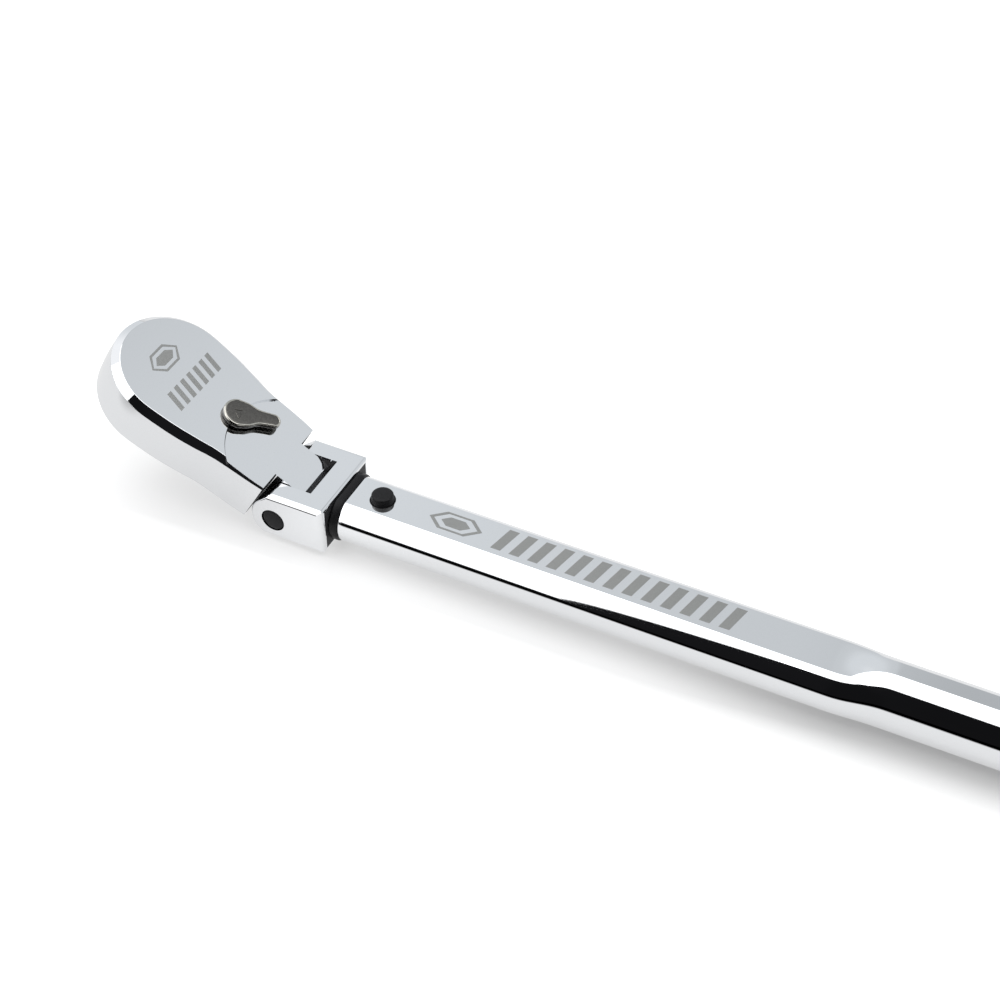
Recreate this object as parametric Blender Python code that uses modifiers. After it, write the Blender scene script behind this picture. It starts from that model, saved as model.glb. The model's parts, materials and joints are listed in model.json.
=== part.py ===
"""Extending flex-head ratchet wrench, half-inch drive.

A flattened steel tube is the handle.  A forged yoke and its flat bar slide in
the tube and lock every 25.4 mm.  The teardrop head swings on a pin between the
yoke's arms and holds a 60-tooth drive gear, a rocking pawl and a thumb lever.

Frame: +X runs towards the grip end, +Z is up, and the origin is at the bottom
centre of the whole tool.  The handle's own pieces are laid out from the head
pivot, and the head's pieces are laid out straight ahead of it, along -X, and
then raised together by the flex angle.  All dimensions are in millimetres.
"""
import math

import bmesh
import bpy
from mathutils import Matrix, Vector

MM = 0.001

# ---- where the tool lies -------------------------------------------------
PIVOT_X = -157.37            # head pivot, measured from the middle of the tool
PIN_DROP = 1.1               # the pivot lies this far below the tool's mid plane
TUBE_RADIUS = 10.5           # rear, round part of the handle: the lowest point
PIVOT_Z = TUBE_RADIUS - PIN_DROP
FLEX_DEG = 29.58             # head raised by this angle
LEVER_DEG = 32.5             # thumb lever turned to this side of the tool's line

# ---- handle tube ---------------------------------------------------------
TUBE_FRONT = 21.3
TUBE_REAR = 379.0
WALL = 2.0
OVAL_W = 12.03               # flattened part: half width
OVAL_H = 7.8                 # flattened part: half height
OVAL_FLAT = 6.5              # half width of its flat
FLANGE_PROUD = 0.4           # the mouth's black flange stands out of the tube by this
ROUND_FROM = 184.0           # the flattened part ends here
ROUND_TO = 202.0             # and the round part starts here
FLAT_STEPS = 3               # section points in half a flat
SIDE_STEPS = 7               # section points in a quarter of the round sides
FLAT_SHARE = 36.0            # degrees of the round section that half a flat becomes
CAP_LENGTH = 4.5
CAP_PLUG = 12.0
GAP = 0.3                    # between pieces that are fixed together
RUN = 0.1                    # radial clearance of turning and sliding fits

# ---- yoke and bar --------------------------------------------------------
YOKE_HALF_W = 15.69
YOKE_HALF_H = 8.75
YOKE_REAR = 18.06
YOKE_NOSE = 8.15             # the arms' fronts are round about the pin
NOSE_TURN = 50.0             # up to this angle, and then run straight to the top
YOKE_EDGE = 3.0              # rounding along the yoke's long edges
SLOT_HALF_W = 8.45
SLOT_BACK = 10.4
BAR_HALF_W = 7.2
BAR_HALF_H = 4.0
BAR_REAR = 354.0
PIN_RADIUS = 4.0
BUSH_LENGTH = 8.0

# ---- extension lock ------------------------------------------------------
LOCK_X = 31.64
LOCK_STEP = 25.4
LOCK_STOPS = 7
LOCK_TRAVEL = 2.4
BUTTON_RADIUS = 3.75
BUTTON_PROUD = 2.64
STEM_RADIUS = 1.5
FOOT_RADIUS = 3.5

# ---- head ----------------------------------------------------------------
GEAR_A = 53.43               # gear centre, ahead of the pivot
HEAD_RADIUS = 21.5
HEAD_TOP = 10.7
NECK_TOP = 9.9
HEAD_BOTTOM = -7.4
HEAD_EDGE = 2.3
NECK_ARC_A = 8.5             # the lowered neck face is a disc about this point
NECK_ARC_R = 21.8
SHOULDER_A = 8.45            # flat shoulder that the arms' round fronts pass by
TONGUE_HALF_W = 8.15
TONGUE_RADIUS = 9.9
TONGUE_LOW_RADIUS = 8.6      # its rear draws in to this towards the bottom
TONGUE_BOTTOM = -7.65
HEAD_SIDE = ((3.0, 15.4), (8.45, 16.1), (14.0, 16.7), (25.9, 17.6), (33.2, 19.1),
             (40.4, 20.4), (47.2, 21.15), (GEAR_A, HEAD_RADIUS))

# ---- drive ---------------------------------------------------------------
TEETH = 60
GEAR_TIP = 14.4
GEAR_ROOT = 13.7
GEAR_LOW = -4.2
GEAR_HIGH = 6.7
POCKET_R = 15.2
POCKET_TOP = 7.0
RECESS_R = 18.4
RECESS_TOP = -4.45
PAWL_POCKET_R = 18.25
HUB_RADIUS = 11.5
TANG = 12.7
TANG_TOP = -7.6
TANG_END = -23.0
BALL_RADIUS = 2.38
BALL_C = -16.0
BALL_PROUD = 1.0

# ---- pawl and lever ------------------------------------------------------
PAWL_TIP = 14.52             # tooth tips while the pawl is level
PAWL_ROOT = 15.3
PAWL_PLAIN = 14.95           # face between the toothed wings
PAWL_BACK = 17.3
PAWL_SPAN = 42.0             # half angle of the pawl about the gear's centre
PAWL_TEETH = 3               # on each wing
PAWL_FIRST_GAP = 24.0        # gear gap that takes a wing's first tooth
PAWL_PIVOT_R = 16.3
PAWL_TILT = 4.0
PAWL_PIN_R = 0.9
PAWL_LOW = -3.8
PAWL_HIGH = 5.4
LEVER_A = 29.8
SHAFT_R = 3.85
SHAFT_LOW = -2.6
PLUNGER_C = 1.5
PLUNGER_R = 1.5
PLUNGER_REACH = 5.35         # plunger's nose, from the lever's axis
LEVER_LOW = 11.0
LEVER_HIGH = 12.9
LEVER_DISC = 5.05
LEVER_LENGTH = 14.25
LEVER_TAIL = ((0.0, 5.05), (5.2, 3.75), (8.6, 3.35), (12.0, 2.9))

# ---- colours: (red, green, blue), roughness, metallic ---------------------
CHROME = ((0.78, 0.79, 0.80), 0.08, 1.0)
DARK_STEEL = ((0.16, 0.15, 0.14), 0.32, 1.0)
BLACK_OXIDE = ((0.02, 0.02, 0.022), 0.38, 0.6)
BRIGHT_STEEL = ((0.60, 0.60, 0.60), 0.25, 1.0)
SPRING_STEEL = ((0.45, 0.45, 0.46), 0.30, 1.0)
RUBBER = ((0.02, 0.02, 0.02), 0.70, 0.0)


# ---------------------------------------------------------------------------
# scene, collections and finishes
# ---------------------------------------------------------------------------
def clear_scene():
    for obj in list(bpy.data.objects):
        bpy.data.objects.remove(obj, do_unlink=True)


def new_collection(name):
    group = bpy.data.collections.new(name)
    bpy.context.scene.collection.children.link(group)
    return group


def material(name, finish):
    colour, roughness, metallic = finish
    mat = bpy.data.materials.new(name)
    mat.use_nodes = True
    shader = mat.node_tree.nodes["Principled BSDF"]
    shader.inputs["Base Color"].default_value = (*colour, 1.0)
    shader.inputs["Roughness"].default_value = roughness
    shader.inputs["Metallic"].default_value = metallic
    return mat


def add_part(obj, finish, parent):
    """Put a finished piece in the tool's collection with its own material."""
    PARTS.objects.link(obj)
    obj.parent = parent
    obj.data.materials.append(material(obj.name + "_finish", finish))
    return obj


def add_cutter(obj, parent):
    CUTTERS.objects.link(obj)
    obj.parent = parent
    obj.hide_render = True
    obj.display_type = "WIRE"
    return obj


def combine(target, tool, operation, parent):
    """Cut the tool from the target, or join it on, with a live Boolean."""
    add_cutter(tool, parent)
    modifier = target.modifiers.new(tool.name, "BOOLEAN")
    modifier.operation = operation
    modifier.solver = "EXACT"
    modifier.object = tool


def cut(target, *tools):
    for tool in tools:
        combine(target, tool, "DIFFERENCE", target.parent)


def join(target, *tools):
    for tool in tools:
        combine(target, tool, "UNION", target.parent)


def bevel(obj, width, segments, angle_deg=40.0):
    modifier = obj.modifiers.new("edges", "BEVEL")
    modifier.width = width * MM
    modifier.segments = segments
    modifier.limit_method = "ANGLE"
    modifier.angle_limit = math.radians(angle_deg)


# ---------------------------------------------------------------------------
# basic solids
# ---------------------------------------------------------------------------
def object_from(name, shape):
    mesh = bpy.data.meshes.new(name)
    shape.to_mesh(mesh)
    shape.free()
    mesh.shade_smooth()
    mesh.set_sharp_from_angle(angle=math.radians(35.0))
    return bpy.data.objects.new(name, mesh)


def turn_to(direction):
    """Rotation that lays local +Z along a direction."""
    return Vector(direction).normalized().to_track_quat("Z", "Y").to_matrix().to_4x4()


def block(name, x, y, z):
    """Box between the low and high values of x, y and z."""
    shape = bmesh.new()
    middle = Vector(((x[0] + x[1]) / 2, (y[0] + y[1]) / 2, (z[0] + z[1]) / 2)) * MM
    size = Vector((x[1] - x[0], y[1] - y[0], z[1] - z[0])) * MM
    place = Matrix.LocRotScale(middle, None, size)
    bmesh.ops.create_cube(shape, size=1.0, matrix=place)
    return object_from(name, shape)


def rod(name, radius, start, end, segments=32):
    """Cylinder between two points."""
    first = Vector(start) * MM
    run = Vector(end) * MM - first
    shape = bmesh.new()
    place = Matrix.Translation(first + run / 2) @ turn_to(run)
    bmesh.ops.create_cone(shape, cap_ends=True, segments=segments, depth=run.length,
                          radius1=radius * MM, radius2=radius * MM, matrix=place)
    return object_from(name, shape)


def ball(name, radius, centre):
    shape = bmesh.new()
    place = Matrix.Translation(Vector(centre) * MM)
    bmesh.ops.create_uvsphere(shape, u_segments=16, v_segments=8,
                              radius=radius * MM, matrix=place)
    return object_from(name, shape)


def as_mesh(curve_object):
    """Welded mesh of a curve object, which is then removed."""
    bpy.context.scene.collection.objects.link(curve_object)
    graph = bpy.context.evaluated_depsgraph_get()
    mesh = bpy.data.meshes.new_from_object(curve_object.evaluated_get(graph))
    shape = bmesh.new()
    shape.from_mesh(mesh)
    bmesh.ops.remove_doubles(shape, verts=shape.verts, dist=0.00001)
    shape.to_mesh(mesh)
    shape.free()
    mesh.shade_smooth()
    mesh.set_sharp_from_angle(angle=math.radians(35.0))
    solid = bpy.data.objects.new(curve_object.name + "_solid", mesh)
    solid.matrix_world = curve_object.matrix_world
    name = curve_object.name
    bpy.data.objects.remove(curve_object, do_unlink=True)
    solid.name = name
    return solid


def prism(name, outline, axis, low, high):
    """Flat outline given thickness along an axis.

    The outline's points are (x, y) for axis Z, (x, z) for Y and (y, z) for X.
    """
    curve = bpy.data.curves.new(name, "CURVE")
    curve.dimensions = "2D"
    curve.fill_mode = "BOTH"
    curve.extrude = (high - low) / 2 * MM
    spline = curve.splines.new("POLY")
    spline.points.add(len(outline) - 1)
    for point, (u, v) in zip(spline.points, outline):
        point.co = (u * MM, v * MM, 0.0, 1.0)
    spline.use_cyclic_u = True
    solid = as_mesh(bpy.data.objects.new(name, curve))
    middle = (low + high) / 2 * MM
    lay = {
        "Z": Matrix.Translation((0.0, 0.0, middle)),
        "Y": Matrix.Translation((0.0, middle, 0.0)) @ Matrix.Rotation(math.pi / 2, 4, "X"),
        "X": Matrix(((0, 0, 1, middle), (1, 0, 0, 0), (0, 1, 0, 0), (0, 0, 0, 1))),
    }[axis]
    solid.data.transform(lay)
    return solid


def turned(name, profile, centre, axis, steps=32):
    """Profile of (radius, height) points, outer side top to bottom, turned about an axis."""
    mesh = bpy.data.meshes.new(name)
    closed = profile[0][0] > 0.0
    count = len(profile)
    edges = [(i, i + 1) for i in range(count - 1)]
    if closed:
        edges.append((count - 1, 0))
    mesh.from_pydata([(r * MM, 0.0, h * MM) for r, h in profile], edges, [])
    obj = bpy.data.objects.new(name, mesh)
    screw = obj.modifiers.new("turned", "SCREW")
    screw.axis = "Z"
    screw.steps = steps
    screw.render_steps = steps
    screw.use_merge_vertices = True
    screw.merge_threshold = 0.00001
    screw.use_smooth_shade = True
    obj.matrix_local = Matrix.Translation(Vector(centre) * MM) @ turn_to(axis)
    return obj


def coil(name, radius, wire, start, end, turns, per_turn=8):
    """Round-wire compression spring between two points."""
    first = Vector(start)
    run = Vector(end) - first
    lay = turn_to(run)
    curve = bpy.data.curves.new(name, "CURVE")
    curve.dimensions = "3D"
    curve.bevel_depth = wire / 2 * MM
    curve.bevel_resolution = 2
    curve.use_fill_caps = True
    spline = curve.splines.new("POLY")
    count = int(turns * per_turn)
    spline.points.add(count)
    rise = run.length - wire
    for i, point in enumerate(spline.points):
        angle = 2 * math.pi * i / per_turn
        local = Vector((radius * math.cos(angle), radius * math.sin(angle),
                        wire / 2 + rise * i / count))
        point.co = (*((first + lay @ local) * MM), 1.0)
    return as_mesh(bpy.data.objects.new(name, curve))


# ---------------------------------------------------------------------------
# outlines
# ---------------------------------------------------------------------------
def arc(centre, radius, start_deg, end_deg, count):
    """Points along an arc, both ends included."""
    points = []
    for i in range(count + 1):
        angle = math.radians(start_deg + (end_deg - start_deg) * i / count)
        points.append((centre[0] + radius * math.cos(angle),
                       centre[1] + radius * math.sin(angle)))
    return points


def smooth_through(stations, steps):
    """Catmull-Rom curve through the stations, level at its last one."""
    first = (2 * stations[0][0] - stations[1][0], 2 * stations[0][1] - stations[1][1])
    last = (2 * stations[-1][0] - stations[-2][0], stations[-2][1])
    line = [first, *stations, last]
    points = []
    for i in range(1, len(line) - 2):
        p0, p1, p2, p3 = (Vector(p) for p in line[i - 1:i + 3])
        for k in range(steps):
            t = k / steps
            point = (p1 * 2 + (p2 - p0) * t + (p0 * 2 - p1 * 5 + p2 * 4 - p3) * t * t
                     + (p1 * 3 - p0 - p2 * 3 + p3) * t ** 3) / 2
            points.append(tuple(point))
    points.append(tuple(stations[-1]))
    return points


def whole_turn(quarter, side_point):
    """Mirror a quarter section, which starts at the top middle, all the way round."""
    right = quarter + [(y, -z) for y, z in [side_point] + quarter[:0:-1]]
    return right + [(-y, -z) for y, z in right]


def oval(half_w, half_h, flat):
    """Flattened-tube section, 40 points: two flats joined by round sides."""
    side = ((half_w - flat) ** 2 + half_h ** 2) / (2 * (half_w - flat))
    reach = math.degrees(math.asin(half_h / side))
    quarter = [(flat * i / FLAT_STEPS, half_h) for i in range(FLAT_STEPS)]
    quarter += arc((half_w - side, 0.0), side, reach, 0.0, SIDE_STEPS)[:-1]
    return whole_turn(quarter, (half_w, 0.0))


def circle_like_oval(radius):
    """Circle whose points pair with those of the flattened section."""
    angles = [90.0 - FLAT_SHARE * i / FLAT_STEPS for i in range(FLAT_STEPS)]
    angles += [(90.0 - FLAT_SHARE) * (1 - i / SIDE_STEPS) for i in range(SIDE_STEPS)]
    quarter = [(radius * math.cos(math.radians(a)), radius * math.sin(math.radians(a)))
               for a in angles]
    return whole_turn(quarter, (radius, 0.0))


def plain_oval(half_w, half_h, flat):
    """The same section without points inside its flats, for a straight piece."""
    return [(y, z) for y, z in oval(half_w, half_h, flat) if abs(y) > flat - 0.01]


def raised(points, lift):
    return [(y, z + lift) for y, z in points]


def gear_outline(tip, root, teeth):
    """Trapezoid teeth; a gap's middle lies on the -X axis."""
    points = []
    pitch = 2 * math.pi / teeth
    for i in range(teeth):
        start = math.pi + i * pitch
        for share, radius in ((-0.20, root), (0.20, root), (0.36, tip), (0.64, tip)):
            angle = start + share * pitch
            points.append((radius * math.cos(angle), radius * math.sin(angle)))
    return points


# ---------------------------------------------------------------------------
# handle
# ---------------------------------------------------------------------------
def tube_section(x, wall):
    """Ring of (x, y, z) points of the tube's outside, or of its bore."""
    flat = OVAL_FLAT
    if wall:
        side = ((OVAL_W - flat) ** 2 + OVAL_H ** 2) / (2 * (OVAL_W - flat))
        flat = OVAL_W - side + math.sqrt((side - wall) ** 2 - (OVAL_H - wall) ** 2)
    flattened = oval(OVAL_W - wall, OVAL_H - wall, flat)
    rounded = circle_like_oval(TUBE_RADIUS - wall)
    t = min(max((x - ROUND_FROM) / (ROUND_TO - ROUND_FROM), 0.0), 1.0)
    t = t * t * (3 - 2 * t)
    return [Vector((x, (1 - t) * p[0] + t * q[0], (1 - t) * p[1] + t * q[1] + PIN_DROP)) * MM
            for p, q in zip(flattened, rounded)]


def make_handle_tube(parent):
    """Loft from the flattened section to the round one, outside and bore."""
    stations = [TUBE_FRONT]
    stations += [ROUND_FROM + (ROUND_TO - ROUND_FROM) * i / 6 for i in range(7)]
    stations += [TUBE_REAR]
    shape = bmesh.new()
    skins = []
    for wall in (0.0, WALL):
        rings = [[shape.verts.new(p) for p in tube_section(x, wall)] for x in stations]
        skins.append(rings)
        for near, far in zip(rings, rings[1:]):
            for i in range(len(near)):
                j = (i + 1) % len(near)
                shape.faces.new((near[i], near[j], far[j], far[i]))
    for end in (0, -1):
        outer, inner = skins[0][end], skins[1][end]
        for i in range(len(outer)):
            j = (i + 1) % len(outer)
            shape.faces.new((outer[i], outer[j], inner[j], inner[i]))
    bmesh.ops.recalc_face_normals(shape, faces=shape.faces)
    tube = object_from("handle_tube", shape)
    add_part(tube, CHROME, parent)
    mid = PIN_DROP
    cut(tube,
        rod("button_hole", BUTTON_RADIUS + GAP, (LOCK_X, 0, mid), (LOCK_X, 0, mid + 20)),
        rod("plug_hole", 4.6, (LOCK_X, 0, mid), (LOCK_X, 0, mid - 20)))
    return tube


def make_mouth_bushing(parent):
    """Black flange and sleeve that line the mouth and guide the bar."""
    flange = prism("mouth_bushing",
                   raised(plain_oval(OVAL_W + FLANGE_PROUD, OVAL_H + FLANGE_PROUD, OVAL_FLAT),
                          PIN_DROP),
                   "X", YOKE_REAR + GAP, TUBE_FRONT - GAP)
    bushing = add_part(flange, BLACK_OXIDE, parent)
    inner = WALL + GAP
    join(bushing, prism("sleeve", raised(plain_oval(OVAL_W - inner, OVAL_H - inner, 6.0), PIN_DROP),
                        "X", TUBE_FRONT - 2 * GAP, 46.0))
    slide = RUN
    mid = PIN_DROP
    cut(bushing,
        block("bar_way", (10, 60), (-BAR_HALF_W - slide, BAR_HALF_W + slide),
              (mid - BAR_HALF_H - slide, mid + BAR_HALF_H + slide)),
        rod("button_way", BUTTON_RADIUS + GAP, (LOCK_X, 0, mid), (LOCK_X, 0, mid + 20)),
        rod("foot_way", FOOT_RADIUS + GAP, (LOCK_X, 0, mid), (LOCK_X, 0, mid - 20)))


def make_end_cap(parent):
    plug = TUBE_RADIUS - WALL - GAP
    face = CAP_LENGTH - GAP
    profile = [(0, face), (TUBE_RADIUS - 2.2, face), (TUBE_RADIUS - 0.9, face - 0.6),
               (TUBE_RADIUS, face - 2.0), (TUBE_RADIUS, 0), (plug, 0),
               (plug, -CAP_PLUG), (0, -CAP_PLUG)]
    cap = turned("end_cap", profile, (TUBE_REAR + GAP, 0, PIN_DROP), (1, 0, 0), 32)
    add_part(cap, BLACK_OXIDE, parent)


def make_lock(parent):
    """Button, pin with its round foot, spring and the plug below them."""
    top = PIN_DROP + OVAL_H + BUTTON_PROUD
    low = PIN_DROP + BAR_HALF_H + 0.25 + LOCK_TRAVEL
    r = BUTTON_RADIUS
    button = turned("lock_button",
                    [(0, top), (r - 1.3, top), (r - 0.5, top - 0.35), (r, top - 1.1),
                     (r, low), (STEM_RADIUS + GAP, low), (STEM_RADIUS + GAP, top - 1.3),
                     (0, top - 1.3)],
                    (LOCK_X, 0, 0), (0, 0, 1), 32)
    add_part(button, BLACK_OXIDE, parent)
    under_bar = PIN_DROP - BAR_HALF_H
    foot_top = under_bar + LOCK_TRAVEL - GAP
    foot_low = foot_top - 2.4
    pin = turned("lock_pin",
                 [(0, top - 1.6), (STEM_RADIUS, top - 1.6), (STEM_RADIUS, foot_top),
                  (FOOT_RADIUS, foot_top), (FOOT_RADIUS, foot_low),
                  (FOOT_RADIUS - 0.6, foot_low), (FOOT_RADIUS - 0.6, foot_top - 0.8),
                  (0, foot_top - 0.8)],
                 (LOCK_X, 0, 0), (0, 0, 1), 32)
    add_part(pin, BRIGHT_STEEL, parent)
    plug_top = foot_low - LOCK_TRAVEL - 0.1
    plug = rod("spring_plug", 4.3, (LOCK_X, 0, plug_top - 1.3), (LOCK_X, 0, plug_top))
    add_part(plug, BLACK_OXIDE, parent)
    spring = coil("lock_spring", 2.2, 0.45, (LOCK_X, 0, plug_top + 0.1),
                  (LOCK_X, 0, foot_top - 0.9), 3)
    add_part(spring, SPRING_STEEL, parent)


# ---------------------------------------------------------------------------
# yoke, bar and their small pieces
# ---------------------------------------------------------------------------
def make_yoke_bar(parent):
    low, high = PIN_DROP - YOKE_HALF_H, PIN_DROP + YOKE_HALF_H
    rear, brow = 0.8, 2.0
    low_turn = math.degrees(math.asin(low / YOKE_NOSE))
    turn = math.radians(NOSE_TURN)
    top_x = (high * math.sin(turn) - YOKE_NOSE) / math.cos(turn)
    outline = arc((0, 0), YOKE_NOSE, 180 - low_turn, 180 - NOSE_TURN, 12)
    brow_x = top_x + brow * math.tan((math.pi / 2 - turn) / 2)
    outline += arc((brow_x, high - brow), brow, 180 - NOSE_TURN, 90, 3)
    outline += arc((YOKE_REAR - rear, high - rear), rear, 90, 0, 3)
    outline += arc((YOKE_REAR - rear, low + rear), rear, 0, -90, 3)
    yoke = add_part(prism("yoke_bar", outline, "Y", -YOKE_HALF_W, YOKE_HALF_W), CHROME, parent)
    bevel(yoke, YOKE_EDGE, 3, 60.0)
    slot = SLOT_HALF_W
    cut(yoke, block("fork_slot", (-30, SLOT_BACK), (-slot, slot), (low - 5, high + 5)))
    mid_low, mid_high = PIN_DROP - BAR_HALF_H, PIN_DROP + BAR_HALF_H
    join(yoke, block("bar", (YOKE_REAR - 5, BAR_REAR), (-BAR_HALF_W, BAR_HALF_W),
                     (mid_low, mid_high)))
    cut(yoke,
        rod("pin_bore", PIN_RADIUS + RUN, (0, -30, 0), (0, 30, 0)),
        rod("plunger_bore", 2.8, (SLOT_BACK - 5, 0, 0.6), (24.0, 0, 0.6), 24),
        rod("screw_hole", 2.3, (BAR_REAR - 15, 0, PIN_DROP), (BAR_REAR + 5, 0, PIN_DROP), 24))
    reach = LOCK_STEP * (LOCK_STOPS - 1)
    way = STEM_RADIUS + 0.2
    ends = arc((LOCK_X, 0), way, 90, 270, 8) + arc((LOCK_X + reach, 0), way, -90, 90, 8)
    cut(yoke, prism("stem_way", ends, "Z", -10, 20))
    for i in range(LOCK_STOPS):
        x = LOCK_X + i * LOCK_STEP
        cut(yoke, rod(f"pocket_{i}", FOOT_RADIUS + 0.2, (x, 0, mid_low - 5),
                      (x, 0, mid_low + LOCK_TRAVEL), 24))


def make_yoke_small_pieces(parent):
    half = YOKE_HALF_W - 0.15
    pin = turned("pivot_pin",
                 [(0, half), (PIN_RADIUS - 0.4, half), (PIN_RADIUS, half - 0.4),
                  (PIN_RADIUS, 0.4 - half), (PIN_RADIUS - 0.4, -half), (0, -half)],
                 (0, 0, 0), (0, 1, 0), 32)
    add_part(pin, BLACK_OXIDE, parent)
    nose = TONGUE_RADIUS + GAP
    plunger = turned("flex_plunger",
                     [(0, 0), (1.6, -0.4), (2.5, -1.4), (2.5, -6.5), (0, -6.5)],
                     (nose, 0, 0.6), (-1, 0, 0), 24)
    add_part(plunger, BRIGHT_STEEL, parent)
    spring = coil("flex_spring", 1.9, 0.7, (nose + 6.8, 0, 0.6), (23.8, 0, 0.6), 5)
    add_part(spring, SPRING_STEEL, parent)
    bush_from = BAR_REAR + GAP
    length = BUSH_LENGTH
    bush = turned("stop_bush", [(8.3, length), (8.3, 0), (2.4, 0), (2.4, length)],
                  (bush_from, 0, PIN_DROP), (1, 0, 0), 32)
    add_part(bush, BRIGHT_STEEL, parent)
    head = length + GAP
    screw = turned("stop_screw",
                   [(0, head + 2.4), (3.6, head + 2.4), (4.6, head + 1.4), (4.6, head),
                    (2.0, head), (2.0, -12.0), (0, -12.0)],
                   (bush_from, 0, PIN_DROP), (1, 0, 0), 24)
    add_part(screw, BLACK_OXIDE, parent)
    cut(screw, prism("hex_socket",
                     raised(arc((0, 0), 1.7, 0, 300, 5), PIN_DROP), "X",
                     bush_from + head + 0.9, bush_from + head + 5))


# ---------------------------------------------------------------------------
# head: local x is minus the distance ahead of the pivot
# ---------------------------------------------------------------------------
def make_head_body(parent):
    side = smooth_through(HEAD_SIDE, 2)
    upper = [(-a, b) for a, b in side]
    tip = arc((-GEAR_A, 0), HEAD_RADIUS, 90, 270, 26)
    outline = upper + tip[1:-1] + [(x, -y) for x, y in reversed(upper)]
    head = add_part(prism("head_body", outline, "Z", HEAD_BOTTOM, HEAD_TOP), CHROME, parent)
    bevel(head, HEAD_EDGE, 2, 60.0)
    cut(head, block("shoulder", (-SHOULDER_A, 30), (-40, 40), (-30, 30)))
    lower = math.degrees(math.asin(-TONGUE_BOTTOM / TONGUE_LOW_RADIUS))
    rear = []
    for i in range(9):
        radius = TONGUE_LOW_RADIUS + (TONGUE_RADIUS - TONGUE_LOW_RADIUS) * i / 8
        angle = -math.radians(lower) * (1 - i / 8)
        rear.append((radius * math.cos(angle), radius * math.sin(angle)))
    above = NECK_TOP + 0.4
    tongue = [(-16.0, TONGUE_BOTTOM + 0.35), (-13.5, TONGUE_BOTTOM), *rear,
              *arc((0, 0), TONGUE_RADIUS, 0, 84, 9)[1:], (-3.0, above), (-16.0, above)]
    join(head, prism("tongue", tongue, "Y", -TONGUE_HALF_W, TONGUE_HALF_W))
    cut(head, rod("neck_face", NECK_ARC_R, (-NECK_ARC_A, 0, NECK_TOP), (-NECK_ARC_A, 0, 20), 64))
    centre = (-GEAR_A, 0)
    pocket_floor = RECESS_TOP - 0.5
    sector = arc(centre, PAWL_POCKET_R, -50, 50, 20) + [(-GEAR_A + 5, 6), (-GEAR_A + 5, -6)]
    cut(head,
        rod("pin_bore_head", PIN_RADIUS + RUN, (0, -30, 0), (0, 30, 0)),
        rod("gear_pocket", POCKET_R, (-GEAR_A, 0, pocket_floor), (-GEAR_A, 0, POCKET_TOP), 64),
        rod("cover_recess", RECESS_R, (-GEAR_A, 0, -20), (-GEAR_A, 0, RECESS_TOP), 64),
        rod("ring_groove", RECESS_R + 0.8, (-GEAR_A, 0, -6.85), (-GEAR_A, 0, -5.8), 64),
        prism("pawl_pocket", sector, "Z", pocket_floor, POCKET_TOP),
        rod("lever_bore", SHAFT_R + RUN, (-LEVER_A, 0, SHAFT_LOW - GAP), (-LEVER_A, 0, 20), 36),
        rod("snap_groove", SHAFT_R + 0.65, (-LEVER_A, 0, 6.2), (-LEVER_A, 0, 7.2), 36),
        block("plunger_way", (-38, -LEVER_A), (-5.2, 5.2), (PAWL_LOW - 0.4, PAWL_HIGH + GAP)),
        rod("pawl_pin_seat", PAWL_PIN_R + 0.15, (-GEAR_A + PAWL_PIVOT_R, 0, 0),
            (-GEAR_A + PAWL_PIVOT_R, 0, POCKET_TOP + 1.8), 20))


def make_drive(parent):
    """Gear with its hub and square tang, ball detent, cover, seal and snap ring."""
    centre = (-GEAR_A, 0)
    outline = [(x + centre[0], y) for x, y in gear_outline(GEAR_TIP, GEAR_ROOT, TEETH)]
    gear = add_part(prism("drive_gear", outline, "Z", GEAR_LOW, GEAR_HIGH), BRIGHT_STEEL, parent)
    half = TANG / 2
    tang = block("tang", (-GEAR_A - half, -GEAR_A + half), (-half, half), (TANG_END, GEAR_LOW - 1))
    bevel(tang, 0.8, 1)
    join(gear, rod("hub", HUB_RADIUS, (-GEAR_A, 0, TANG_TOP), (-GEAR_A, 0, GEAR_LOW + 1), 48), tang)
    face = -GEAR_A - half
    middle = face + BALL_RADIUS - BALL_PROUD
    cut(gear, rod("ball_hole", BALL_RADIUS + RUN, (face - 5, 0, BALL_C), (face + 9.5, 0, BALL_C), 24))
    add_part(ball("detent_ball", BALL_RADIUS, (middle, 0, BALL_C)), BRIGHT_STEEL, parent)
    add_part(coil("detent_spring", 1.7, 0.5, (middle + BALL_RADIUS + 0.1, 0, BALL_C),
                  (face + 9.3, 0, BALL_C), 4), SPRING_STEEL, parent)
    cover = turned("cover_plate", [(RECESS_R - GAP, -4.75), (RECESS_R - GAP, -5.6),
                                   (12.9, -5.6), (12.9, -4.75)], (-GEAR_A, 0, 0), (0, 0, 1), 48)
    add_part(cover, BLACK_OXIDE, parent)
    seal = turned("drive_seal", [(12.6, -4.8), (12.6, -5.6), (11.8, -5.6), (11.8, -4.8)],
                  (-GEAR_A, 0, 0), (0, 0, 1), 48)
    add_part(seal, RUBBER, parent)
    gap_half = 12.0
    ring = arc(centre, RECESS_R + 0.5, gap_half, 360 - gap_half, 48)
    ring += arc(centre, RECESS_R - 1.4, 360 - gap_half, gap_half, 48)
    add_part(prism("snap_ring", ring, "Z", -6.7, -5.9), SPRING_STEEL, parent)


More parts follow.
